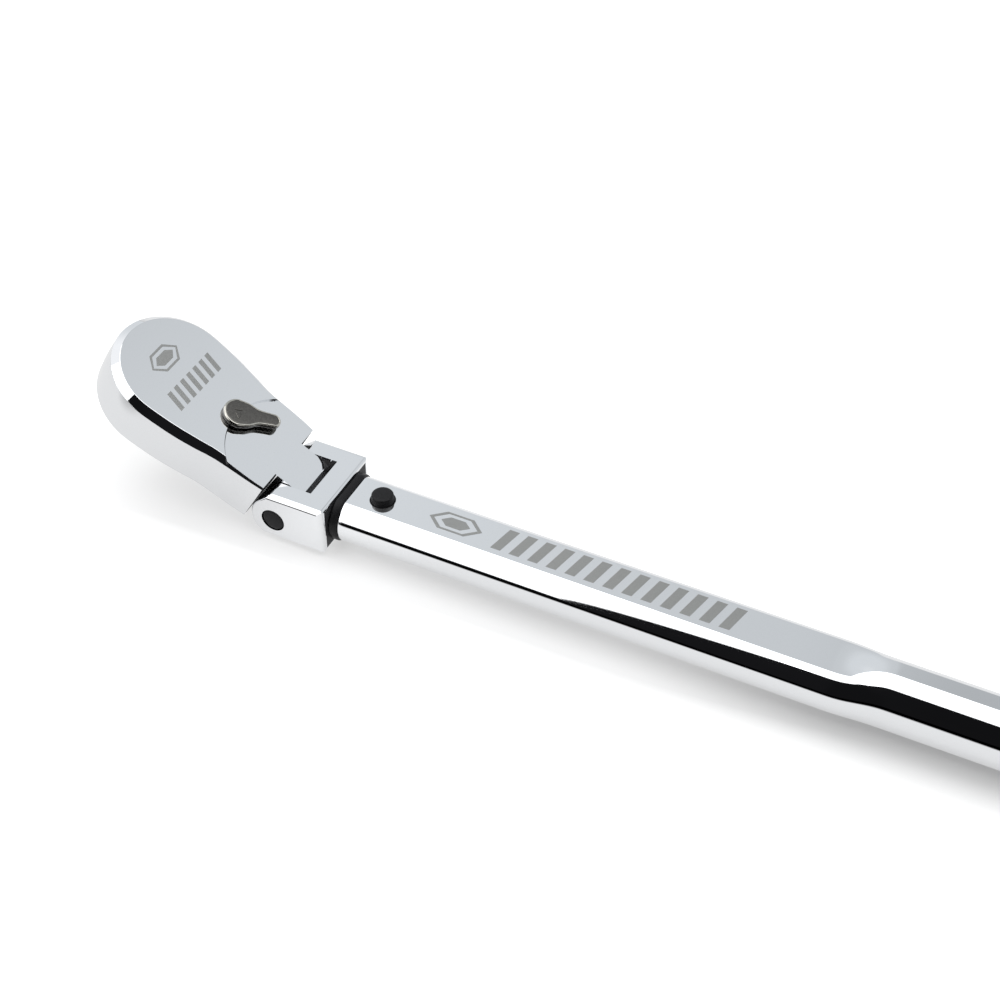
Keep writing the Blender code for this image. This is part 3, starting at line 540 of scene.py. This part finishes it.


def yoke_side():
    """Side outline: a nose round about the pin, its tangent up to a rounded brow, the flat top, and
    small round corners behind."""
    rear, brow, nose = 1.15, 2.0, -YOKE_FRONT
    turn = math.radians(NOSE_TURN)
    brow_x = ((YOKE_HIGH * math.sin(turn) - nose) / math.cos(turn)
              + brow * math.tan((math.pi / 2 - turn) / 2))
    return np.vstack((
        arc((0, 0), nose, 180 - math.degrees(math.asin(YOKE_LOW / nose)), 180 - NOSE_TURN, 48),
        arc((brow_x, YOKE_HIGH - brow), brow, 180 - NOSE_TURN, 90, 10)[1:],
        arc((YOKE_REAR - rear, YOKE_HIGH - rear), rear, 90, 0, 8),
        arc((YOKE_REAR - rear, YOKE_LOW + rear), rear, 0, -90, 8)))


def make_yoke():
    """Rounded cross section swept along the tool, kept inside the side outline with a quarter round
    along its edges and inside a plan with round rear corners; then the slot and the pin's bore."""
    edge, side_round = 2.1, 0.9
    corners = [arc((sy * (YOKE_W - edge), MID + sz * (YOKE_H - edge)), edge, start, start + 90, 12)
               for sy, sz, start in ((1, 1, 0), (-1, 1, 90), (-1, -1, 180), (1, -1, 270))]
    yoke = plate("yoke_forging", np.vstack(corners), [(0, YOKE_FRONT - 2), (0, YOKE_REAR + 2)],
                 TOOL_FRAME, "x")
    turn = np.radians(np.linspace(0, 90, 9))
    near = [(side_round * (1 - math.sin(a)), -YOKE_W + side_round * (1 - math.cos(a))) for a in turn]
    far = [(depth, -y) for depth, y in near[::-1]]
    corner_x, corner_y = YOKE_REAR - REAR_CORNER, YOKE_W - REAR_CORNER
    plan = np.vstack((
        ((-25.0, YOKE_W + 1), (-25.0, -YOKE_W - 1), (YOKE_REAR - 6, -YOKE_W - 1)),
        arc((corner_x, -corner_y), REAR_CORNER, -80, -10, 10),
        ((YOKE_REAR + 1, 1 - corner_y), (YOKE_REAR + 1, corner_y - 1)),
        arc((corner_x, corner_y), REAR_CORNER, 10, 80, 10),
        ((YOKE_REAR - 6, YOKE_W + 1),)))
    carve(yoke, "INTERSECT", plate("side_outline", yoke_side(), near + far, TOOL_FRAME, "y"),
          plate("rear_corners", plan, [(0, YOKE_LOW - 3), (0, YOKE_HIGH + 3)], TOOL_FRAME, "z"))
    carve(yoke, "DIFFERENCE",
          box("slot", (-30, SLOT_BACK), (-SLOT_W, SLOT_W), (YOKE_LOW - 5, YOKE_HIGH + 5), TOOL_FRAME),
          cylinder("pin_bore", PIN_R + 0.12, (0, -30, 0), (0, 30, 0), TOOL_FRAME))
    soften(yoke, 0.22)
    return hand_over(yoke, "extension", "polished_chrome", CHROME)


def make_yoke_shade_sheets():
    """Painted shade: thin dark sheets on the slot's walls and end, and on the yoke's back."""
    wall = inset(yoke_side(), 0.8)
    for side in (-1, 1):
        lining = plate("slot_wall_shade", wall, [(0, side * SLOT_W - SHADE_FILM), (0, side * SLOT_W + SHADE_FILM)],
                       TOOL_FRAME, "y")
        carve(lining, "DIFFERENCE", cylinder("pin_way", PIN_R + 0.3, (0, -30, 0), (0, 30, 0), TOOL_FRAME),
              box("slot_end", (SLOT_BACK, 40), (-30, 30), (-30, 30), TOOL_FRAME))
        hand_over(lining, "extension", "polished_chrome", PAINTED_SHADE)
    end = box("slot_end_shade", (SLOT_BACK - SHADE_FILM, SLOT_BACK + SHADE_FILM), (-SLOT_W, SLOT_W),
              (YOKE_LOW + 0.5, YOKE_HIGH - 0.3), TOOL_FRAME)
    hand_over(end, "extension", "polished_chrome", PAINTED_SHADE)
    # painted reflection of shade: the back mirrors the shaded floor under the flange, so a dark sheet covers it
    half = YOKE_W - REAR_CORNER
    back = box("rear_face_shade", (YOKE_REAR - SHADE_FILM, YOKE_REAR + 0.03), (-half, half),
               (YOKE_LOW + 1.2, YOKE_HIGH - 1.2), TOOL_FRAME)
    hand_over(back, "extension", "polished_chrome", PAINTED_SHADE)


def make_flat_bar():
    """Bar with the lock's slot along it and a round pocket from below at each stop."""
    bar = box("flat_bar", (YOKE_REAR - 1.5, tool_x("yoke_bar", 1)), (-BAR_W, BAR_W),
              (MID - BAR_H, MID + BAR_H), TOOL_FRAME)
    stops = [BUTTON_X + STOP_STEP * i for i in range(STOPS)]
    carve(bar, "DIFFERENCE", box("way", (stops[0], stops[-1]), (-1.7, 1.7), (-20, 20), TOOL_FRAME),
          *[cylinder("pocket", 3.7, (x, 0, -20), (x, 0, MID - 1.6), TOOL_FRAME, 40) for x in stops])
    soften(bar, 0.5)
    return hand_over(bar, "extension", "polished_chrome", CHROME, "yoke_bar")


def make_pin():
    """Pin through the yoke, with softly rounded ends just inside the arms."""
    half = YOKE_W - 0.12
    end = [(0, half), (2.9, half), (3.5, half - 0.1), (3.8, half - 0.3), (PIN_R, half - 0.7)]
    profile = end + [(radius, -y) for radius, y in end[::-1]]
    pin = lathe("pin_ends", profile, (0, 0, 0), (0, 1, 0), TOOL_FRAME, 72)
    sharpen(pin, 50)
    return hand_over(pin, "extension", "black_oxide", BLACK, "pivot_pin")


# ---------------------------------------------------------------------------
# head
# ---------------------------------------------------------------------------
HEAD_R = 21.5
PAD_TOP, NECK_TOP, HEAD_LOW = 10.7, 9.9, -7.4
HEAD_EDGE = 2.3                     # the top chamfer at the tip
NECK_SHARE = 0.62                   # and its share at the shoulder
WALL_BOW = 0.25
STEP_A, STEP_R = 8.5, 21.8          # the arc where the neck steps down from the pad
TONGUE_W, TONGUE_R = 8.15, 9.9
TONGUE_LOW_R, TONGUE_LOW = 8.6, -7.65
SHOULDER_A = 8.45
SIDE = ((SHOULDER_A, 16.1), (14.0, 16.7), (25.9, 17.6), (33.2, 19.1), (40.4, 20.4), (47.2, 21.15),
        (GEAR_A, HEAD_R))


def head_outline():
    """Flank from the flat shoulder, round tip, and the flank again."""
    flank = smooth_through(SIDE, 14)
    tip = arc((GEAR_A, 0), HEAD_R, 90, -90, 120)
    return np.vstack((flank, tip[1:-1], flank[::-1] * (1, -1)))


def head_rings():
    """Outline carried up the head's height.

    Each ring is the outline inset by an amount times a share: the top chamfer is full round the
    tip and falls to NECK_SHARE of it at the shoulder, and the wall bulges slightly outwards.  The
    first and last points stay in the shoulder's plane."""
    outline = head_outline()
    t = np.clip((outline[:, 0] - 8.0) / 30.0, 0, 1)
    share = NECK_SHARE + (1 - NECK_SHARE) * t * t * (3 - 2 * t)
    full_wall = PAD_TOP - HEAD_LOW - HEAD_EDGE
    rings = []
    for depth, height in edge_profile(HEAD_LOW, PAD_TOP, 1.2, HEAD_EDGE, bow=WALL_BOW, steps=9):
        ring = inset(outline, depth)
        ring[[0, -1]] = outline[[0, -1]] - ((0, depth), (0, -depth))
        level = np.full(len(ring), height)
        if depth > 0 and height > 0:
            ring = outline + (ring - outline) * share[:, None]
            level = PAD_TOP - (PAD_TOP - level) * share
        elif height > 0:
            wall = PAD_TOP - HEAD_LOW - HEAD_EDGE * share
            level = HEAD_LOW + (level - HEAD_LOW) * wall / full_wall
        rings.append(np.column_stack((ring, level)))
    return np.array(rings)


def tongue_side():
    """Side outline of the tongue: its rear is round about the pin, with a radius that grows evenly
    from the low edge up to the pin's height and stays the same above it."""
    lower = math.degrees(math.asin(-TONGUE_LOW / TONGUE_LOW_R))
    angle = np.radians(np.linspace(-lower, 0, 14, endpoint=False))
    radius = TONGUE_LOW_R + (TONGUE_R - TONGUE_LOW_R) * (1 + angle / math.radians(lower))
    rear = np.stack((-radius * np.cos(angle), radius * np.sin(angle)), 1)
    top = NECK_TOP + 0.4
    return np.vstack(([(16.0, TONGUE_LOW + 0.35), (13.5, TONGUE_LOW)], rear,
                      arc((0, 0), TONGUE_R, 180, 96, 14), [(3.0, top), (16.0, top)]))


def make_head():
    """The head's rings joined to the tongue, then cut: lever bore, the neck's lower face, the
    cover's recess and the gear's pocket."""
    head = skin("head_forging", head_rings(), HEAD_FRAME)
    tongue = plate("tongue", tongue_side(), [(0, -TONGUE_W), (0, TONGUE_W)], HEAD_FRAME, "y")
    carve(head, "UNION", tongue)
    carve(head, "DIFFERENCE",
          cylinder("bore", 3.95, (LEVER_A, 0, -2.9), (LEVER_A, 0, 20), HEAD_FRAME, 70),
          cylinder("neck_face", STEP_R, (STEP_A, 0, NECK_TOP), (STEP_A, 0, 20), HEAD_FRAME, 160),
          cylinder("recess", 18.4, (GEAR_A, 0, -20), (GEAR_A, 0, -4.45), HEAD_FRAME, 128),
          cylinder("pocket", 15.2, (GEAR_A, 0, -5.0), (GEAR_A, 0, 7.0), HEAD_FRAME, 96))
    soften(head, 0.2)
    make_head_shade_sheets()
    return hand_over(head, "head", "polished_chrome", CHROME, "head_body")


def make_head_shade_sheets():
    """Painted shade: a thin dark strip at the foot of the neck's step, and dark sheets on the shoulder beside the
    tongue.
    """
    foot = np.vstack((arc((STEP_A, 0), STEP_R - 0.02, -52, -8, 40),
                      arc((STEP_A, 0), STEP_R - 0.42, -8, -52, 40)))
    shade_strip = plate("step_shade_strip", foot, [(0, NECK_TOP - 0.3), (0, NECK_TOP + 0.03)], HEAD_FRAME)
    hand_over(shade_strip, "head", "polished_chrome", PAINTED_SHADE)
    # painted shade: dark sheets in the notch between the shoulder and the yoke
    for side in (-1, 1):
        face = box("shoulder_shade", (SHOULDER_A - 0.04, SHOULDER_A + 0.04),
                   sorted((side * (TONGUE_W + 0.3), side * 15.2)), (HEAD_LOW + 1.4, NECK_TOP - 1.6),
                   HEAD_FRAME)
        hand_over(face, "head", "polished_chrome", PAINTED_SHADE)


# ---------------------------------------------------------------------------
# drive end, cover and lever
# ---------------------------------------------------------------------------
TEETH = 60
TANG_HALF, TANG_END, BALL_C = 6.35, -23.0, -16.0


def make_drive():
    """Toothed wheel (radius swings between root and tip once per tooth), hub and square tang."""
    step = np.linspace(0, TAU, TEETH * 8, endpoint=False)
    wave = np.clip(1.6 * np.cos(TEETH * step), -1, 1)
    radius = 14.05 + 0.34 * wave
    teeth = np.stack((GEAR_A + radius * np.cos(step), radius * np.sin(step)), 1)
    gear = plate("toothed_wheel", teeth, [(0, -4.2), (0, 6.0)], HEAD_FRAME)
    hand_over(sharpen(gear, 40), "drive", "plain_steel", STEEL)
    profile = [(0, -7.6), (10.9, -7.6), (11.4, -7.45), (11.5, -7.1), (11.5, -4.0), (0, -4.0)]
    hub = lathe("drive_hub", profile, (GEAR_A, 0, 0), (0, 0, 1), HEAD_FRAME)
    hand_over(sharpen(hub, 40), "drive", "plain_steel", STEEL)
    tang = box("square_tang", (GEAR_A - TANG_HALF, GEAR_A + TANG_HALF), (-TANG_HALF, TANG_HALF),
               (TANG_END, -7.5), HEAD_FRAME)
    face = GEAR_A + TANG_HALF
    carve(tang, "DIFFERENCE",
          cylinder("ball_hole", 2.48, (face - 9.0, 0, BALL_C), (face + 5, 0, BALL_C), HEAD_FRAME, 48))
    soften(tang, 0.8, 3)
    return hand_over(tang, "drive", "plain_steel", STEEL, "drive_gear")


def make_cover():
    """Turned cover disc with a hole for the hub, its seal, and an open ring that holds it."""
    centre, up = (GEAR_A, 0, 0), (0, 0, 1)
    cover = lathe("cover_disc", [(12.9, -5.6), (17.8, -5.6), (18.1, -5.45), (18.1, -4.75), (12.9, -4.75)],
                  centre, up, HEAD_FRAME, 128)
    hand_over(sharpen(cover, 40), "head", "black_oxide", BLACK, "cover_plate")
    seal = lathe("hub_seal", [(11.8, -5.6), (12.6, -5.6), (12.6, -4.8), (11.8, -4.8)],
                 centre, up, HEAD_FRAME)
    hand_over(sharpen(seal, 40), "head", "seal_rubber", RUBBER, "drive_seal")
    ring = np.vstack((arc((GEAR_A, 0), 18.9, 12, 348, 96), arc((GEAR_A, 0), 17.0, 348, 12, 96)))
    wire = plate("spring_ring", ring, [(0.1, -6.7), (0, -6.6), (0, -6.0), (0.1, -5.9)], HEAD_FRAME)
    return hand_over(sharpen(wire, 40), "head", "spring_steel", SPRING, "snap_ring")


def lever_outline(steps):
    """Round disc, waisted sides through a few widths, round end."""
    length, end_r = 14.25, 2.45
    side = smooth_through(((0, 5.05), (3.5, 4.35), (6.4, 3.0), (9.0, 2.6), (12.0, 2.45)), steps)[1:]
    side = side[side[:, 0] < length - end_r - 0.2]
    end = arc((length - end_r, 0), end_r, -80, 80, 20)
    return np.vstack((arc((0, 0), 5.05, 90, 270, 40), side * (1, -1), end, side[::-1]))


def make_lever():
    """Outline carried up a dark side and a bright rounded rim; satin face set into the rim."""
    outline = lever_outline(8)
    low, high = 11.0, 12.9
    turn = np.radians(np.linspace(0, 90, 7))
    over = [(0.55 * (1 - math.cos(a)), high - 0.55 + 0.55 * math.sin(a)) for a in turn]
    side = plate("lever_side", outline, [(0.5, low), (0.15, low + 0.06), (0.02, low + 0.2), (0, low + 0.5),
                                         (0, high - 0.6), (0.4, high - 0.5)], LEVER_FRAME)
    hand_over(sharpen(side, 60), "lever", "dark_nickel", NICKEL)
    rim = plate("lever_rim", outline, [(0.1, high - 0.62)] + over
                + [(0.62, high - 0.02), (0.68, high - 0.1), (0.8, high - 0.14)], LEVER_FRAME)
    hand_over(sharpen(rim, 60), "lever", "dark_nickel", BRIGHT_NICKEL)
    face = plate("lever_face", inset(outline, 0.66), [(0.0, high - 0.3), (0.0, high - 0.12),
                                                      (0.12, high - 0.03), (0.4, high)], LEVER_FRAME)
    hand_over(sharpen(face, 40), "lever", "dark_nickel", NICKEL)
    shaft = lathe("lever_shaft", [(0, -2.6), (3.85, -2.6), (3.85, 6.25), (3.2, 6.25), (3.2, 7.15),
                                  (3.85, 7.15), (3.85, 8.2), (3.1, 8.2), (3.1, 9.2), (3.85, 9.2),
                                  (3.85, low + 0.3), (0, low + 0.3)], (0, 0, 0), (0, 0, 1), LEVER_FRAME)
    hand_over(sharpen(shaft, 40), "lever", "dark_nickel", NICKEL, "reverse_lever")
    for side in (-1, 1):
        mark = np.array(((1.1, 0.5), (-1.5, 0.5), (-0.2, 2.9)), float)[::side] * (1, side)
        raised = plate("direction_mark", mark, [(0, high - 0.1), (0.05, high + 0.15), (0.2, high + 0.24)],
                       LEVER_FRAME)
        soften(raised, 0.05)
        hand_over(raised, "lever", "dark_nickel", NICKEL)


# ---------------------------------------------------------------------------
# etched marks: plain shapes that say nothing
# ---------------------------------------------------------------------------
def etch(name, outline, height, body, place, hole=None):
    """Very thin plate on a polished face; a hole leaves a frame."""
    film = 0.02
    outline = np.array(outline, float)
    if hole is None:
        piece = plate(name, outline, [(0, height - 0.1), (0, height + film)], place)
    else:
        hole = np.array(hole, float)
        rings = []
        for ring, level in ((outline, -0.1), (outline, film), (hole, film), (hole, -0.1)):
            rings.append(np.column_stack((ring, np.full(len(ring), height + level))))
        piece = skin(name, np.array(rings), place, caps=False, closed_rows=True)
    sharpen(piece, 20)
    return hand_over(piece, body, "polished_chrome", ETCHED)


def hexagon(centre, radius, stretch, turn=0.0):
    """Six corners on an ellipse: a circle of that radius stretched along the first axis."""
    angle = np.radians(np.arange(6) * 60 + turn)
    return np.stack((centre[0] + radius * stretch * np.cos(angle),
                     centre[1] + radius * np.sin(angle)), 1)


def slanted_bar(start, width, low, high, slant):
    """Parallelogram whose top is moved along by the slant times its height."""
    lean = slant * (high - low)
    return np.array(((start, low), (start + width, low), (start + width + lean, high),
                     (start + lean, high)), float)


def make_marks():
    """A six-sided badge and a row of slanted bars, on the head and on the handle."""
    top, centre = MID + OVAL_H, (57.3, 0.4)
    etch("handle_badge", hexagon(centre, 4.6, 2.0), top, "handle", TOOL_FRAME,
         hexagon(centre, 3.7, 2.05))
    etch("handle_badge_core", hexagon(centre, 2.4, 2.1), top, "handle", TOOL_FRAME)
    first, pitch = 71.5, 6.3
    for i in range(13):
        etch("handle_bar", slanted_bar(first + pitch * i, 3.4, -4.2, 5.6, 0.22), top, "handle", TOOL_FRAME)
    centre = (59.0, 0)
    etch("head_badge", hexagon(centre, 7.0, 0.62, 90), PAD_TOP, "head", HEAD_FRAME,
         hexagon(centre, 6.1, 0.56, 90))
    etch("head_badge_core", hexagon(centre, 4.6, 0.46, 90), PAD_TOP, "head", HEAD_FRAME)
    first, pitch = -12.5, 3.6
    for i in range(7):
        bar = slanted_bar(first + pitch * i, 1.9, 43.6, 50.4, 0.25)
        etch("head_bar", bar[:, ::-1], PAD_TOP, "head", HEAD_FRAME)


# ---------------------------------------------------------------------------
# stage, lights and camera
# ---------------------------------------------------------------------------
# (place in metres, value) over the floor: how much it glows to the eye beside the tool and past its
# ends, lower close to the tool as a painted shadow, and how much of it mirrors see in front, to the
# left and behind
FLOOR_GLOW = ((-0.028, 0.62), (-0.010, 0.20), (0.0, 0.20), (0.014, 0.80))
FLOOR_GLOW_ENDS = ((-0.26, 0.66), (-0.18, 0.52), (-0.05, 0.42), (0.05, 0.20), (0.19, 0.20), (0.27, 0.66))
FLOOR_TENT = ((-0.102, 0.0), (-0.064, 1.0), (0.3, 1.0))
FLOOR_LEFT = ((-0.50, 0.0), (-0.38, 0.97), (-0.18, 0.97), (-0.15, 1.12), (-0.10, 1.0))
FLOOR_BEHIND = ((0.06, 0.0), (0.16, 1.0))


def ramp_over(tree, source, stops):
    """Smooth grey ramp of a coordinate: each stop is (place, value)."""
    first, last = stops[0][0], stops[-1][0]
    scaled = node(tree, "MapRange")
    scaled.inputs["From Min"].default_value = first
    scaled.inputs["From Max"].default_value = last
    tree.links.new(source, scaled.inputs["Value"])
    ramp = node(tree, "ValToRGB")
    ramp.color_ramp.interpolation = "EASE"
    for place, value in stops[1:-1]:
        ramp.color_ramp.elements.new((place - first) / (last - first))
    for element, (place, value) in zip(ramp.color_ramp.elements, stops):
        element.position = (place - first) / (last - first)
        element.color = grey(value)
    tree.links.new(scaled.outputs["Result"], ramp.inputs["Fac"])
    return ramp.outputs["Color"]


MIX_FACTOR, MIX_A, MIX_B, MIX_RESULT = 0, 6, 7, 2       # sockets of a colour Mix node


def mixed(tree, a, b, blend="MIX", factor=1.0):
    """Two colours put together; each one, and the factor, is a node's output or a plain value."""
    mix = node(tree, "Mix", data_type="RGBA", blend_type=blend)
    for socket, value in ((MIX_FACTOR, factor), (MIX_A, a), (MIX_B, b)):
        if isinstance(value, bpy.types.NodeSocket):
            tree.links.new(value, mix.inputs[socket])
        else:
            mix.inputs[socket].default_value = value
    return mix.outputs[MIX_RESULT]


def grey(value):
    """Grey colour of that value."""
    return (value, value, value, 1)


def make_stage():
    """Pale floor: it takes the tool's soft shadow, and glows to plain white further out; the glow is
    lower beside the tool and past its ends, a painted shadow that darkens and widens the cast one.
    Mirrors see it only near the tool, as under a small light tent."""
    points = np.array(((-6, -6, 0), (6, -6, 0), (6, 6, 0), (-6, 6, 0)), float)
    floor = to_object("floor", points, [(0, 1, 2, 3)], Matrix.Identity(4))
    material = bpy.data.materials.new("pale_floor")
    material.use_nodes = True
    tree = material.node_tree
    shader = tree.nodes["Principled BSDF"]
    shader.inputs["Roughness"].default_value = 0.9
    shader.inputs["Specular IOR Level"].default_value = 0.0
    shader.inputs["Emission Strength"].default_value = 1.0
    place = node(tree, "TexCoord")
    split = node(tree, "SeparateXYZ")
    tree.links.new(place.outputs["Object"], split.inputs[0])
    path = node(tree, "LightPath")
    across, along = split.outputs["Y"], split.outputs["X"]
    # painted shadow: less glow in a band along the tool and past its ends
    glow = mixed(tree, ramp_over(tree, across, FLOOR_GLOW), ramp_over(tree, along, FLOOR_GLOW_ENDS),
                 "LIGHTEN")
    left_or_far = mixed(tree, ramp_over(tree, along, FLOOR_LEFT),
                        ramp_over(tree, across, FLOOR_BEHIND), "LIGHTEN")
    tent = mixed(tree, ramp_over(tree, across, FLOOR_TENT), left_or_far, "MULTIPLY")
    to_eye = path.outputs["Is Camera Ray"]
    for target, share, seen in (("Emission Color", 0.55, glow), ("Base Color", 0.22, grey(0.38))):
        mirrored = mixed(tree, grey(share), tent, "MULTIPLY")
        tree.links.new(mixed(tree, mirrored, seen, factor=to_eye), shader.inputs[target])
    floor.data.materials.append(material)


def softbox(name, centre, target, width, height, radiance):
    """Rectangular light that faces a target; radiance is its brightness in a mirror."""
    data = bpy.data.lights.new(name, "AREA")
    data.shape = "RECTANGLE"
    data.size, data.size_y = width, height
    data.energy = radiance * math.pi * width * height
    lamp = bpy.data.objects.new(name, data)
    lamp.location = centre
    lamp.rotation_euler = (Vector(target) - Vector(centre)).to_track_quat("-Z", "Y").to_euler()
    lamp.visible_camera = False
    bpy.context.scene.collection.objects.link(lamp)
    return lamp


# (direction's share, value) over the surroundings: how they darken across, and where the white
# patch on the left lies
WORLD_SHADE = ((-0.40, 1.0), (-0.18, 0.86), (-0.09, 0.66), (0.10, 0.66), (0.36, 0.95))
WORLD_LEFT = ((-0.56, 1.0), (-0.42, 0.0))
WORLD_NOT_BEHIND = ((0.30, 1.0), (0.72, 0.0))


def make_lights():
    """Overhead and front-left softboxes; grey surroundings behind, dark in front, light to the left."""
    softbox("overhead", (-0.05, -0.03, 0.95), (-0.05, -0.03, 0), 2.0, 0.90, 1.5)
    front = softbox("front_left", (-0.918, -0.85, 1.0), (-0.918, 0, 1.0), 1.215, 1.80, 1.35)
    front.visible_diffuse = False
    tent = softbox("tent_top", (0, 0, 1.0), (0, 0, 0), 3.2, 3.2, 0.78)
    tent.visible_glossy = False
    world = bpy.data.worlds.new("studio")
    bpy.context.scene.world = world
    world.use_nodes = True
    tree = world.node_tree
    tree.nodes.clear()
    place = node(tree, "TexCoord")
    split = node(tree, "SeparateXYZ")
    tree.links.new(place.outputs["Generated"], split.inputs[0])
    behind = node(tree, "ValToRGB")
    dark, pale = behind.color_ramp.elements
    dark.position, dark.color = 0.0, (0.010, 0.010, 0.011, 1)
    pale.position, pale.color = 0.08, (0.735, 0.765, 0.79, 1)
    tree.links.new(split.outputs["Y"], behind.inputs["Fac"])
    shade = ramp_over(tree, split.outputs["X"], WORLD_SHADE)
    shaded = mixed(tree, behind.outputs["Color"], shade, "MULTIPLY")
    both = node(tree, "Math", operation="MULTIPLY")
    tree.links.new(ramp_over(tree, split.outputs["X"], WORLD_LEFT), both.inputs[0])
    tree.links.new(ramp_over(tree, split.outputs["Y"], WORLD_NOT_BEHIND), both.inputs[1])
    around = mixed(tree, shaded, (1.02, 1.03, 1.05, 1), factor=both.outputs[0])
    mirror = node(tree, "Background")
    tree.links.new(around, mirror.inputs["Color"])
    seen = node(tree, "Background")
    seen.inputs["Color"].default_value = (1, 1, 1, 1)
    path = node(tree, "LightPath")
    mix = node(tree, "MixShader")
    tree.links.new(path.outputs["Is Camera Ray"], mix.inputs[0])
    tree.links.new(mirror.outputs[0], mix.inputs[1])
    tree.links.new(seen.outputs[0], mix.inputs[2])
    out = node(tree, "OutputWorld")
    tree.links.new(mix.outputs[0], out.inputs["Surface"])


def make_camera():
    """View from the right front, from above; two offsets move the sight line off the pivot."""
    azimuth, elevation = math.radians(26.397), math.radians(42.829)
    distance, aside, above = 0.678118, -0.065278, 0.003071
    right = Vector((math.cos(azimuth), math.sin(azimuth), 0))
    back = Vector((math.sin(azimuth) * math.cos(elevation), -math.cos(azimuth) * math.cos(elevation),
                   math.sin(elevation)))
    up = back.cross(right)
    data = bpy.data.cameras.new("camera")
    data.sensor_width = 36.0
    data.lens = 75.592
    data.clip_start = 0.01
    camera = bpy.data.objects.new("camera", data)
    spot = PIVOT + distance * back - aside * right - above * up
    camera.matrix_world = Matrix((
        (right.x, up.x, back.x, spot.x), (right.y, up.y, back.y, spot.y),
        (right.z, up.z, back.z, spot.z), (0, 0, 0, 1)))
    bpy.context.scene.collection.objects.link(camera)
    bpy.context.scene.camera = camera


# ---------------------------------------------------------------------------
# assembly
# ---------------------------------------------------------------------------
SLOT_FINISH = {"polished_chrome": CHROME, "black_oxide": BLACK, "dark_nickel": NICKEL,
               "plain_steel": STEEL, "spring_steel": SPRING, "seal_rubber": RUBBER}

make_tube()
make_bushing()
make_end_cap()
make_button()
make_yoke()
make_yoke_shade_sheets()
make_flat_bar()
make_pin()
make_head()
make_drive()
make_cover()
make_lever()
make_marks()

for part in frame["record"]["subparts"]:
    model = frame["nodes"][part["node"]]
    model.data.materials.clear()
    model.data.materials.append(SLOT_FINISH[part["material_slot"]])

make_stage()
make_lights()
make_camera()
bpy.context.scene.view_settings.view_transform = "Standard"
